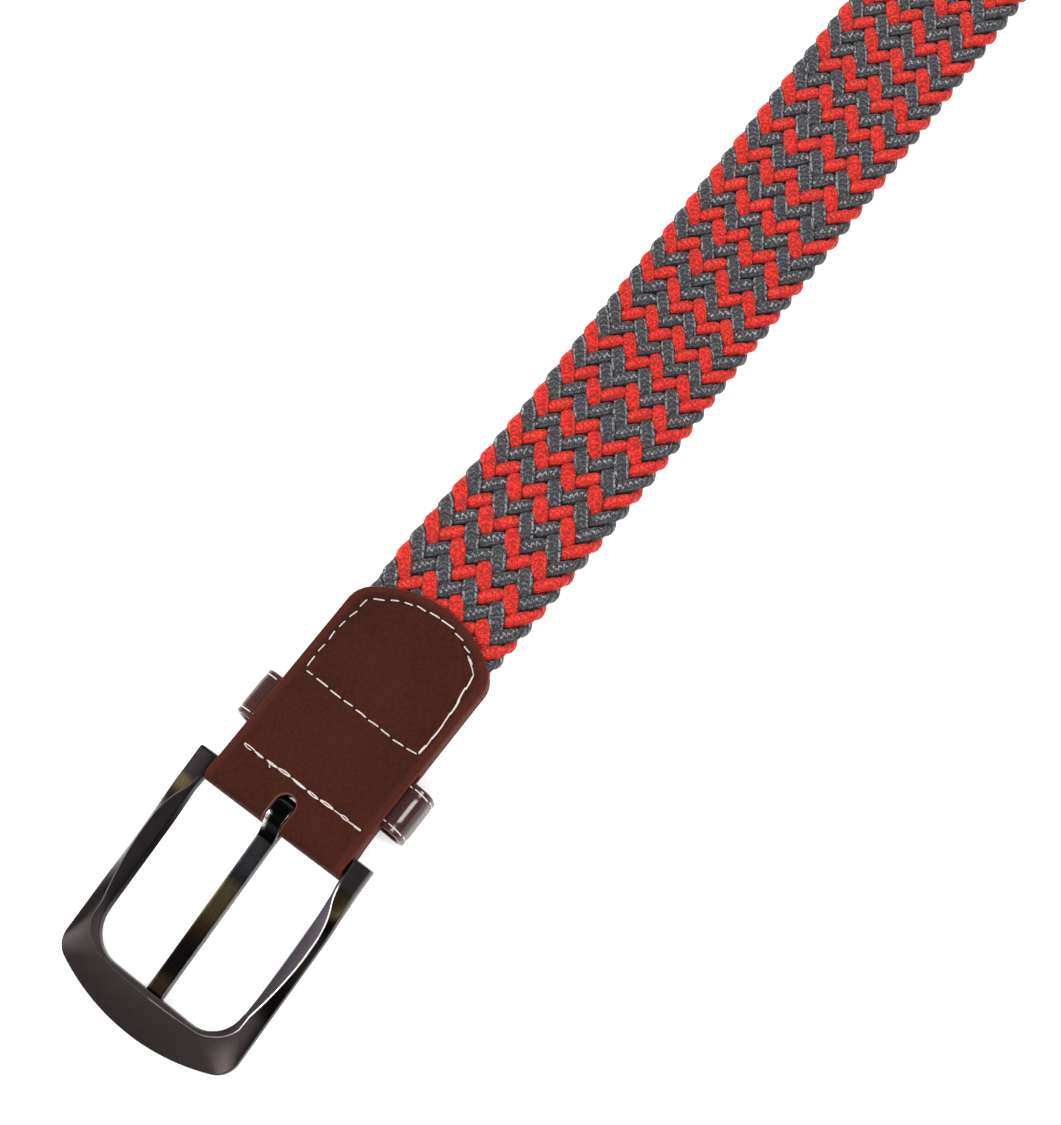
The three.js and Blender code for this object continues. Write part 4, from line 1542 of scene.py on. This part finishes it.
@dataclass
class Keeper:
    """Leather loop whose two ends are held between the plies of the tab."""

    start: float = 11.3
    width: float = 10.8
    thickness: float = 1.3
    half_span: float = 22.05
    corner: float = 3.25
    tuck: float = 9.0
    drop: float = 7.7
    skew: float = 0.04
    seam_inset: float = 1.15
    seam_depth: float = 0.14
    seam_width: float = 0.45
    swell: float = 0.05
    hidden: int = 8

    def straight(self, start: tuple, end: tuple, normal: tuple, count: int) -> Array:
        """Straight run of the strip, its end left out.

        Args:
            start: first place (y, z).
            end: last place.
            normal: outward direction.
            count: how many points.

        Returns:
            Rows of (y, z, outward y, outward z).
        """
        t = np.linspace(0, 1, count, endpoint=False)
        return np.array([(*(p + (q - p) * k for p, q in zip(start, end)), *normal) for k in t], float)

    def bend(self, centre: tuple, first: float, last: float) -> Array:
        """Quarter turn of the strip, its end left out.

        Args:
            centre: middle of the turn.
            first: first angle in degrees.
            last: last angle.

        Returns:
            Rows of (y, z, outward y, outward z).
        """
        radius = self.corner - self.thickness / 2
        turn = [(math.cos(a), math.sin(a)) for a in np.radians(np.linspace(first, last, 11, endpoint=False))]
        return np.array([(centre[0] + radius * c, centre[1] + radius * s, c, s) for c, s in turn])

    def loop(self, offset: float) -> tuple[Array, Array]:
        """Follows the strip from one tucked end to the other.

        Args:
            offset: distance outwards from the strip's middle.

        Returns:
            Points (y, z) and their outward directions.
        """
        top = (CAVITY_TOP + CAVITY_FLOOR + self.thickness) / 2
        bend_y = self.half_span - self.corner
        tuck_y = HALF_LEATHER - self.tuck
        mid_top, mid_bottom = top - self.thickness / 2, -self.drop + self.thickness / 2
        side = self.half_span - self.thickness / 2
        up, down = top - self.corner, -self.drop + self.corner
        rows = np.concatenate([
            self.straight((tuck_y, mid_top), (bend_y, mid_top), (0, 1), 16),
            self.bend((bend_y, up), 90, 0),
            self.straight((side, up), (side, down), (1, 0), 6),
            self.bend((bend_y, down), 0, -90),
            self.straight((bend_y, mid_bottom), (-bend_y, mid_bottom), (0, -1), 60),
            self.bend((-bend_y, down), -90, -180),
            self.straight((-side, down), (-side, up), (-1, 0), 6),
            self.bend((-bend_y, up), -180, -270),
            self.straight((-bend_y, mid_top), (-tuck_y, mid_top), (0, 1), 16),
            [(-tuck_y, mid_top, 0, 1)],
        ])
        return rows[:, :2] + rows[:, 2:] * offset, rows[:, 2:]

    def dress(self, leather: bpy.types.Material, thread: bpy.types.Material) -> None:
        """Builds the loop and its two rows of stitches.

        Args:
            leather: finish of the strip.
            thread: finish of the stitches.
        """
        middle, outward = self.loop(0.0)
        rows = len(middle)
        section = rounded_section(np.full(rows, self.width), np.full(rows, self.thickness), 0.5, 4)
        section = subdivided(section, 12, 3.0)
        across, up = section[..., 0], section[..., 1]
        seam = np.exp(-((np.abs(across) - (self.width / 2 - self.seam_inset)) / self.seam_width) ** 2)
        dip = self.seam_depth * seam - self.swell * (1 - (2 * across / self.width) ** 2)
        up = up - np.where(up > 0, dip, 0)
        y = middle[:, None, 0] + outward[:, None, 0] * up
        z = middle[:, None, 1] + outward[:, None, 1] * up
        x = self.start + self.width / 2 + across + self.skew * y
        surface = Surface()
        surface.loft(on_tab(x, y, z), run_length(middle) * TEXTURE_SCALE,
                     {"edge": self.width / 2 - np.abs(across)})
        piece = surface.build("keeper_leather", leather, Body.STRAP, "keeper_leather")
        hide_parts("keeper_loop")
        skin, normal = self.loop(self.thickness / 2 - 0.08)
        stitches = Surface()
        visible = np.arange(self.hidden, rows - self.hidden)
        for x_at in (self.start + self.seam_inset, self.start + self.width - self.seam_inset):
            y, z = skin[visible].T
            place = x_at + self.skew * y
            line = on_tab(place, y, z)
            out = on_tab(place, y + normal[visible, 0], z + normal[visible, 1]) - line
            Stitching(line, unit(out), stitch=4.6, gap=0.25, thickness=0.27, jitter=0.3).add_to(stitches)
        stitches.build("keeper_stitches", thread, Body.STRAP, "thread")


@dataclass
class TipLeather:
    """Plain pocket of two plies over the strap's free end."""

    flare: float = 15.0
    mouth: float = 3.0
    seam_inset: float = 2.6

    def lift(self, x: Array) -> Array:
        """How far the upper ply rises over the plait at the mouth."""
        return (self.mouth - PLY_GAP) * (1 - smooth(x / self.flare))

    def lower(self, q: Array, height: Array) -> tuple[Array, Array]:
        """Profile of the lower ply."""
        return q, PLY / 2 - height

    def upper(self, q: Array, height: Array) -> tuple[Array, Array]:
        """Profile of the upper ply."""
        return q, 1.5 * PLY + PLY_GAP + self.lift(q) + height

    def core_low(self, x: Array) -> Array:
        """Underside of the filling between the plies."""
        return np.full_like(x, PLY - 0.05)

    def core_high(self, x: Array) -> Array:
        """Top of the filling between the plies."""
        return PLY + PLY_GAP + self.lift(x) + 0.05

    def place(self, x: Array, y: Array, z: Array) -> Array:
        """Places a point of the tip, x being the distance from its mouth."""
        return along_belt(TIP_MOUTH + x, y, z + FLOOR_LIFT)

    def seam(self) -> Array:
        """Draws the stitched line round the tip and across its mouth.

        Returns:
            Plan points of the closed line.
        """
        rim = inset(np.concatenate([end_outline(TIP_LENGTH), [[0, -HALF_LEATHER]]]), self.seam_inset)
        start = self.seam_inset + 0.4
        rim = rim[rim[:, 0] > start]
        rim = np.concatenate([rim[:1] * [0, 1] + [start, 0], rim, rim[-1:] * [0, 1] + [start, 0]])
        return np.concatenate([rim, rim[:1]])

    def dress(self, leather: bpy.types.Material, thread: bpy.types.Material) -> None:
        """Builds the two plies, the filling at their edge and the stitches.

        Args:
            leather: finish of the pocket.
            thread: finish of the stitches.
        """
        outline = end_outline(TIP_LENGTH)
        back = np.linspace(-HALF_LEATHER, HALF_LEATHER, 70)[1:-1]
        outline = np.concatenate([outline, np.stack([np.zeros_like(back), back], -1)])
        seam = resample(self.seam(), 0.45)
        surface, stitches = Surface(), Surface()
        for level, up in ((self.lower, -1.0), (self.upper, 1.0)):
            Ply(outline, level, None, (seam,), spacing=1.1).add_to(surface, self.place)
            x, z = level(seam[:, 0], np.full(len(seam), PLY / 2 - 0.12))
            line = self.place(x, seam[:, 1], z)
            Stitching(line, np.tile([0.0, 0.0, up], (len(line), 1))).add_to(stitches)
        rim = end_outline(TIP_LENGTH)
        rim = rim[rim[:, 0] > 0.3]
        edge_core(surface, rim, self.core_low, self.core_high, self.place)
        piece = surface.build("tip_leather", leather, Body.STRAP, "leather")
        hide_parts("leather_tip")
        stitches.build("tip_stitches", thread, Body.STRAP, "thread")


# Buckle

@dataclass
class BuckleFrame:
    """Cast frame with a ridge that runs along its rails and into the end bar, and its cross bar.

    The rails table gives distance from the bar, inner and outer half width, lean of the inner side, ridge
    place, and heights of inner edge, ridge and outer edge. The corners table gives the turn's share and the
    last five of these. The zones of the end's lighter face, the olive patch, the stub and the corner's bend
    are places along the rail that the finish reads.
    """

    half_width: float = 22.5
    length: float = 51.2
    inner_length: float = 41.9
    inner_half: float = 17.7
    stub: float = 2.5
    end_radius: float = 49.0
    outer_corner: float = 5.0
    inner_corner: float = 7.5
    half_height: float = 1.6
    seat_depth: float = 0.8
    seat_width: float = 4.1
    bar_end: float = 1.5
    end_start: float = 30.5
    end_run: float = 9.0
    patch_start: float = 3.6
    patch_end: float = 11.0
    patch_fade: float = 3.0
    stub_end: float = 2.6
    stub_run: float = 2.6
    bow_at: float = 0.25
    bow_spread: float = 0.55
    rails: tuple = (
        (-2.5, 17.75, 22.1, 0.00, 0.12, 1.55, 1.60, 1.50), (3.2, 17.8, 22.1, 0.00, 0.14, 1.50, 1.65, 1.50),
        (6.0, 18.0, 22.2, 0.10, 0.24, 1.25, 1.70, 1.30), (8.5, 17.9, 22.3, 0.30, 0.50, 0.95, 1.80, 0.90),
        (11.0, 17.8, 22.4, 0.50, 0.66, 0.70, 1.85, 0.40), (14.0, 17.7, 22.5, 0.65, 0.75, 0.45, 1.90, -0.10),
        (19.0, 17.7, 22.5, 0.70, 0.76, 0.35, 1.90, -0.40), (25.0, 17.7, 22.5, 0.60, 0.66, 0.40, 1.85, -0.30),
        (29.0, 17.7, 22.5, 0.50, 0.53, 0.50, 1.80, 0.00),
    )
    corners: tuple = (
        (0.0, 0.30, 0.30, 0.90, 1.75, 0.10), (0.2, 0.20, 0.23, 1.10, 1.75, 0.20),
        (0.4, 0.10, 0.18, 1.20, 1.70, 0.30), (0.6, 0.00, 0.14, 1.25, 1.65, 0.35),
        (0.8, 0.00, 0.13, 1.25, 1.60, 0.40), (1.0, 0.00, 0.12, 1.25, 1.60, 0.40),
    )

    def stations(self) -> list[tuple[Array, Array, Array]]:
        """Lays out the cross-sections of the +Y half, from the rail's end to the middle of the end bar.

        Returns:
            Inner point, outer point and (lean, ridge, heights) of each.
        """
        arc = self.length - self.end_radius
        cy = self.half_width - self.outer_corner
        ca = arc + math.sqrt((self.end_radius - self.outer_corner) ** 2 - cy ** 2)
        spread = math.atan2(cy, ca - arc)
        outer_turn = math.pi / 2 - spread
        ia, iy = self.inner_length - self.inner_corner, self.inner_half - self.inner_corner
        corners = np.array(self.corners)
        table = np.concatenate([self.rails, [[ia, self.inner_half, self.half_width, *self.corners[0][1:]]]])
        rows = []
        for a in np.linspace(-self.stub, ia, 57)[:-1]:
            inner, outer, *values = (self.eased(a, table[:, 0], table[:, k]) for k in range(1, 8))
            rows.append((np.array([a, inner]), np.array([a, outer]), np.array(values)))
        for turn in np.linspace(0, 1, 15)[:-1]:
            values = np.array([self.eased(turn, corners[:, 0], corners[:, k]) for k in range(1, 6)])
            inner, outer = turn * math.pi / 2, turn * outer_turn
            inner_at = (ia + self.inner_corner * math.sin(inner), iy + self.inner_corner * math.cos(inner))
            outer_at = (ca + self.outer_corner * math.sin(outer), cy + self.outer_corner * math.cos(outer))
            rows.append((np.array(inner_at), np.array(outer_at), values))
        shares = np.unique(np.concatenate([np.linspace(0, 1, 12), [1.95 / iy, 2.15 / iy, 1.3 / iy]]))[::-1]
        for share in shares:
            angle = share * spread
            outer_at = (arc + self.end_radius * math.cos(angle), self.end_radius * math.sin(angle))
            rows.append((np.array([self.inner_length, iy * share]), np.array(outer_at), corners[-1, 1:]))
        return rows

    @staticmethod
    def eased(at: float, places: Array, values: Array) -> float:
        """Value between table rows with level slopes shared by neighbours.

        Args:
            at: place to look up.
            places: places of the rows.
            values: values of the rows.

        Returns:
            The value there.
        """
        slope = np.gradient(values, places)
        k = int(np.clip(np.searchsorted(places, at) - 1, 0, len(places) - 2))
        span = places[k + 1] - places[k]
        t = (at - places[k]) / span
        flat = (values[k + 1] - values[k]) / span
        m0, m1 = (np.clip(s, min(0, 3 * flat), max(0, 3 * flat)) for s in (slope[k], slope[k + 1]))
        return float((2 * t ** 3 - 3 * t ** 2 + 1) * values[k] + (t ** 3 - 2 * t ** 2 + t) * span * m0
                     + (-2 * t ** 3 + 3 * t ** 2) * values[k + 1] + (t ** 3 - t ** 2) * span * m1)

    def ring(self, inner: Array, outer: Array, shape: Array, side: float) -> tuple[Array, Array]:
        """Rounded cross-section of one row.

        Args:
            inner: point on the inner side.
            outer: point on the outer side.
            shape: lean, ridge place and the three heights.
            side: 1 for the +Y half, else -1.

        Returns:
            Points (a, y, z) and the values that the finish reads.
        """
        lean, ridge, inner_top, ridge_top, outer_top = shape
        across = outer - inner
        width = float(np.linalg.norm(across))
        across = across / width
        corner_share = (inner[0] - self.inner_length) / self.inner_corner + 1
        bottom = -self.half_height + 0.3 * float(smooth(corner_share))
        corners = [
            (0, bottom + 0.5, 0.3), (0.5, bottom, 0.3), (width - 0.5, bottom, 0.3),
            (width, bottom + 0.5, 0.3), (width, outer_top, 0.4), (ridge * width, ridge_top, 0.2),
            (lean, inner_top, 0.22),
        ]
        end = float(smooth((inner[0] - self.end_start) / self.end_run))
        patch = float(smooth(inner[0] - self.patch_start)
                      * smooth((self.patch_end - inner[0]) / self.patch_fade))
        stub = float(1 - smooth((inner[0] - self.stub_end) / self.stub_run))
        bow = math.exp(-((corner_share - self.bow_at) / self.bow_spread) ** 2)
        points, values = [], []
        for k, (u, z, radius) in enumerate(corners):
            here = np.array([u, z])
            before, after = np.array(corners[k - 1][:2]), np.array(corners[(k + 1) % 7][:2])
            to_before, to_after = before - here, after - here
            cut0 = min(radius, 0.42 * np.linalg.norm(to_before))
            cut1 = min(radius, 0.42 * np.linalg.norm(to_after))
            p0 = here + to_before / np.linalg.norm(to_before) * cut0
            p1 = here + to_after / np.linalg.norm(to_after) * cut1
            above = k > 3
            for t in (0.0, 0.33, 0.67, 1.0):
                u_at, z_at = (1 - t) ** 2 * p0 + 2 * t * (1 - t) * here + t ** 2 * p1
                rim = width - u_at - max(outer_top - z_at, 0) if above else -2.0
                values.append((u_at - ridge * width, float(above), rim, end, patch, float(side > 0), stub,
                               bow))
                a, y = inner + across * u_at
                if abs(y) < self.seat_width / 2 and a > self.inner_length - 1 and z_at < 0:
                    z_at = min(z_at + self.seat_depth, 0)
                points.append((a, side * y, z_at))
        return np.array(points), np.array(values)

    @staticmethod
    def rounded_end(ring: Array) -> Array:
        """Rings that round off a rail's end.

        Args:
            ring: the last cross-section in (a, y, z).

        Returns:
            The new rings, the outermost first and the moved cross-section last.
        """
        centre = ring.mean(0)
        extra = []
        for shrink, back in ((0.62, 0.0), (0.9, 0.03), (0.97, 0.12)):
            smaller = centre + (ring - centre) * [1, shrink, shrink]
            smaller[:, 0] = ring[:, 0] + back
            extra.append(smaller)
        moved = ring.copy()
        moved[:, 0] += 0.32
        return np.array(extra + [moved])

    def dress(self, metal: bpy.types.Material) -> None:
        """Builds the frame with its bar.

        Args:
            metal: finish of the frame.
        """
        half = self.stations()
        made = [self.ring(*row, 1.0) for row in half] + [self.ring(*row, -1.0) for row in half[:-1]][::-1]
        rings, marks = (np.array(part) for part in zip(*made))
        rings = np.concatenate([self.rounded_end(rings[0]), rings[1:-1], self.rounded_end(rings[-1])[::-1]])
        marks = np.concatenate([np.repeat(marks[:1], 3, 0), marks, np.repeat(marks[-1:], 3, 0)])
        surface = Surface()
        surface.loft(on_buckle(rings[..., 0], rings[..., 1], rings[..., 2]),
                     values={key: marks[..., k] for k, key in enumerate(FRAME_VALUES)})
        cos, sin = circle(32)
        y = np.linspace(-self.half_width + self.bar_end, self.half_width - self.bar_end, 24)
        surface.loft(on_buckle(BAR_RADIUS * cos[None], y[:, None], BAR_RADIUS * sin[None]))
        piece = surface.build("frame_metal", metal, Body.FRAME, "gunmetal")
        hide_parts("buckle_frame")


@dataclass
class Prong:
    """Flat metal strip curled round the bar, its tip under the end bar."""

    width: float = 3.9
    curl_width: float = 4.15
    curl_crown: float = 0.45
    loop_radius: float = 2.1
    loop_thickness: float = 1.3
    loop_stretch: float = 1.72
    loop_entry: float = -104.0
    loop_end: float = -312.0
    reach: float = 47.3

    def path(self) -> tuple[Array, Array]:
        """Follows the strip from the tip to the end of the curl.

        Returns:
            Its middle line (a, z) and its thickness.
        """
        tip = self.reach - np.array([0, 0.07, 0.25, 0.55, 1.0])
        a = np.concatenate([tip, np.linspace(self.reach - 1.8, 5.0, 33)])
        top = -0.35 - 0.30 * (a / self.reach)
        low = -2.2 - 0.25 * (a / self.reach)
        thick = top - low
        round_off = np.sqrt(np.clip(1 - np.clip((a - self.reach + 1.0) / 1.05, 0, 1) ** 2, 0.02, 1))
        shank = np.stack([a, (top + low) / 2], -1)
        # bend from the shank into the loop
        t = np.linspace(0, 1, 9)[1:-1, None]
        entry = math.radians(self.loop_entry)
        p0, p3 = shank[-1], self.loop_radius * np.array([math.cos(entry), math.sin(entry)])
        heading = np.array([math.sin(entry), -math.cos(entry)])
        p1, p2 = p0 + [-2.2, 0.0], p3 - heading * 1.4
        curve = (1 - t) ** 3 * p0 + 3 * t * (1 - t) ** 2 * p1 + 3 * t ** 2 * (1 - t) * p2 + t ** 3 * p3
        angle = np.radians(np.linspace(self.loop_entry, self.loop_end, 36))
        loop = self.loop_radius * np.stack([np.cos(angle), np.sin(angle)], -1)
        stretch = 1 + (self.loop_stretch - 1) * smooth(-loop[:, 0] / 1.6)
        loop[:, 0] *= np.where(loop[:, 0] < 0, stretch, 1.0)
        # ramp from the loop down to the shank
        t = np.linspace(0, 1, 10)[1:, None]
        p0, p1, p2 = loop[-1], np.array([2.9, 0.0]), np.array([5.4, -0.85])
        ramp = (1 - t) ** 2 * p0 + 2 * t * (1 - t) * p1 + t ** 2 * p2
        thickness = [thick * round_off, np.linspace(thick[-1], self.loop_thickness, 7),
                     np.full(36, self.loop_thickness), np.interp(t[:, 0], [0, 1], [self.loop_thickness, 0.7])]
        return np.concatenate([shank, curve, loop, ramp]), np.concatenate(thickness)

    def dress(self, metal: bpy.types.Material) -> None:
        """Builds the strip with crisp edges and a rounder curl.

        Args:
            metal: finish of the strip.
        """
        line, thickness = self.path()
        tangent = unit(np.gradient(line, axis=0))
        normal = np.stack([-tangent[:, 1], tangent[:, 0]], -1)
        last = np.arange(len(line))[::-1]
        curl = smooth((54 - last) / 10)
        width = self.width + (self.curl_width - self.width) * curl * smooth((last + 1) / 9)
        width[:4] -= [1.2, 0.7, 0.35, 0.1]
        section = subdivided(rounded_section(width, thickness, 0.22, 4), 10)
        y, up = section[..., 0], section[..., 1]
        away = (width / 2)[:, None] - np.abs(y)
        crown = self.curl_crown * curl[:, None] * (2 * y / width[:, None]) ** 2
        up = np.where(up < 0, up + crown, up)
        a = line[:, None, 0] + normal[:, None, 0] * up
        z = line[:, None, 1] + normal[:, None, 1] * up
        # painted highlight: strokes on the curl's left flank and thin lines along the top edges
        over = smooth((a + 0.6) / 1.0) * smooth((3.9 - a) / 0.8) * smooth((z + 0.9) / 0.5) * curl[:, None]
        painted_glint = over * smooth((y - 1.0) / 0.5)
        edge = np.where(z > line[:, None, 1] - 0.2, away, 2.0)
        surface = Surface()
        surface.loft(on_buckle(a, y, z), run_length(line) * TEXTURE_SCALE, {"edge": edge, "painted_glint": painted_glint})
        piece = surface.build("prong_metal", metal, Body.PRONG, "gunmetal")
        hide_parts("prong")


# Studio

@dataclass(frozen=True)
class SoftBox:
    """Soft rectangular lamp, placed in metres along the picture's right and up and by its height."""

    name: str
    right: float
    up: float
    height: float
    size: tuple
    watts: float


@dataclass
class Studio:
    """Pale floor, soft lamps and the camera at the photo's angle."""

    eye: tuple = (-498.012, -135.798, 427.268)
    right: tuple = (0.60139, -0.79217, -0.10394)
    up: tuple = (0.77001, 0.53997, 0.33988)
    focal_pixels: float = 2200.0
    frame_pixels: tuple = (1061, 1125)
    sensor: float = 36.0
    target: tuple = (-420.0, 0.0, 4.0)
    lamps: tuple = (
        SoftBox("lamp_left", -0.7, 0.1, 0.6, (0.3, 0.7), 4.9),
        SoftBox("lamp_right", 0.47, -0.2, 0.84, (0.14, 0.45), 4.8),
        SoftBox("lamp_low", 0.0, -0.6, 0.75, (0.7, 0.3), 4.6),
        SoftBox("lamp_high", 0.1, 0.95, 0.5, (0.8, 0.3), 6.5),
    )
    sky: float = 0.5
    floor_tones: tuple = ((0.92, 0.92, 0.92, 1), (0.94, 0.94, 0.94, 1))
    floor_glow: float = 0.34
    floor_half: float = 4.0
    floor_depth: float = 0.0001

    def camera(self) -> None:
        """Places the camera."""
        data = bpy.data.cameras.new("camera")
        data.sensor_width = self.sensor
        data.lens = self.sensor * self.focal_pixels / max(self.frame_pixels)
        data.clip_start, data.clip_end = 0.01, 20.0
        right, up = Vector(self.right).normalized(), Vector(self.up)
        up = (up - right * up.dot(right)).normalized()
        back = right.cross(up)
        camera = bpy.data.objects.new("camera", data)
        camera.matrix_world = Matrix((
            (right.x, up.x, back.x, self.eye[0] * MM), (right.y, up.y, back.y, self.eye[1] * MM),
            (right.z, up.z, back.z, self.eye[2] * MM), (0, 0, 0, 1),
        ))
        bpy.context.scene.collection.objects.link(camera)
        bpy.context.scene.camera = camera

    def light(self) -> None:
        """Hangs the lamps and sets the surroundings."""
        middle = Vector(self.target) * MM
        right, up = (Vector((axis[0], axis[1], 0)).normalized() for axis in (self.right, self.up))
        for lamp in self.lamps:
            data = bpy.data.lights.new(lamp.name, "AREA")
            data.shape = "RECTANGLE"
            data.size, data.size_y = lamp.size
            data.energy = lamp.watts
            thing = bpy.data.objects.new(lamp.name, data)
            thing.location = middle + right * lamp.right + up * lamp.up + Vector((0, 0, lamp.height))
            thing.rotation_euler = (middle - thing.location).to_track_quat("-Z", "Y").to_euler()
            bpy.context.scene.collection.objects.link(thing)
        world = bpy.data.worlds.new("studio")
        world.use_nodes = True
        world.node_tree.nodes["Background"].inputs["Color"].default_value = (1.0, 1.0, 1.0, 1.0)
        world.node_tree.nodes["Background"].inputs["Strength"].default_value = self.sky
        bpy.context.scene.world = world
        bpy.context.scene.view_settings.view_transform = "Standard"

    def floor(self) -> None:
        """Lays the pale floor."""
        t, shader, material = blank_material("pale_floor")
        tone = t.spread(t.noise(t.place(), 3.0), 0.3, 0.7)
        t.connect(shader, {
            "Base Color": t.mix(tone, *self.floor_tones), "Roughness": 0.9, "Specular IOR Level": 0.1,
            "Emission Color": (1.0, 1.0, 1.0, 1), "Emission Strength": self.floor_glow,
        })
        mesh = bpy.data.meshes.new("floor")
        s = self.floor_half
        mesh.from_pydata([(-s, -s, 0), (s, -s, 0), (s, s, 0), (-s, s, 0)], [], [(0, 1, 2, 3)])
        mesh.materials.append(material)
        floor = bpy.data.objects.new("floor", mesh)
        floor.location.z = -self.floor_depth
        bpy.context.scene.collection.objects.link(floor)

    def build(self) -> None:
        """Sets up camera, lamps and floor."""
        self.camera()
        self.light()
        self.floor()


def main() -> None:
    """Builds every piece round the CAD part."""
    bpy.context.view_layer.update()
    effects = Effects()
    # each cord's fleck colour is a painted highlight and its gap colour is painted shade
    red = CordFinish(
        "red_knit", colour=rgba(234, 31, 13), shade=rgba(118, 4, 2), highlight_fleck=rgba(248, 112, 84),
        highlight_share=0.4, gap_shade=rgba(34, 2, 2), seed=3.0).material(effects)
    grey = CordFinish(
        "grey_knit", colour=rgba(61, 62, 67), shade=rgba(24, 25, 28), highlight_fleck=rgba(172, 168, 170),
        highlight_share=0.85, gap_shade=rgba(6, 6, 7), seed=7.0).material(effects)
    leather = LeatherFinish(
        "brown_leather", colour=rgba(57, 20, 10), deep=rgba(44, 14, 7), edge=rgba(80, 34, 24),
        rim=rgba(116, 74, 62), roughness=0.52, grain_depth=0.1).material(effects)
    glossy = LeatherFinish(
        "keeper_skin", colour=rgba(56, 17, 14), deep=rgba(36, 9, 8), edge=rgba(60, 20, 17),
        rim=rgba(60, 20, 17), roughness=0.36, grain_depth=0.2, creases=1.0, coat=0.66).material(effects)
    thread = ThreadFinish("sewing_thread", colour=rgba(222, 210, 206), shade=rgba(150, 125, 118)).material()
    satin = FrameFinish(
        "satin_gunmetal", flank=rgba(11, 9, 10), stub=rgba(48, 42, 44), facet=rgba(66, 60, 67),
        face=rgba(63, 56, 56), tarnish=rgba(44, 39, 26), painted_glint=rgba(225, 218, 215)).material(effects)
    # painted reflection: colours along the prong, from its tip
    reflection_bands = (
        (0.0, rgba(34, 31, 33)), (4.5, rgba(32, 28, 28)), (7.5, rgba(42, 34, 24)),
        (10.5, rgba(13, 11, 11)), (17.0, rgba(13, 11, 11)), (21.5, rgba(36, 28, 19)),
        (25.5, rgba(54, 48, 31)), (30.5, rgba(58, 52, 35)), (33.0, rgba(26, 26, 29)),
        (36.0, rgba(42, 40, 44)), (43.0, rgba(44, 41, 45)), (46.0, rgba(13, 13, 13)),
        (50.0, rgba(13, 13, 13)), (55.0, rgba(13, 13, 13)),
    )
    polished = ProngFinish("polished_gunmetal", reflection_bands, painted_glint=rgba(235, 232, 225)).material(effects)
    Plait().dress(red, grey)
    BuckleTab().dress(leather, thread)
    Keeper().dress(glossy, thread)
    TipLeather().dress(leather, thread)
    BuckleFrame().dress(satin)
    Prong().dress(polished)
    Studio().build()


if __name__ == "__main__":
    main()
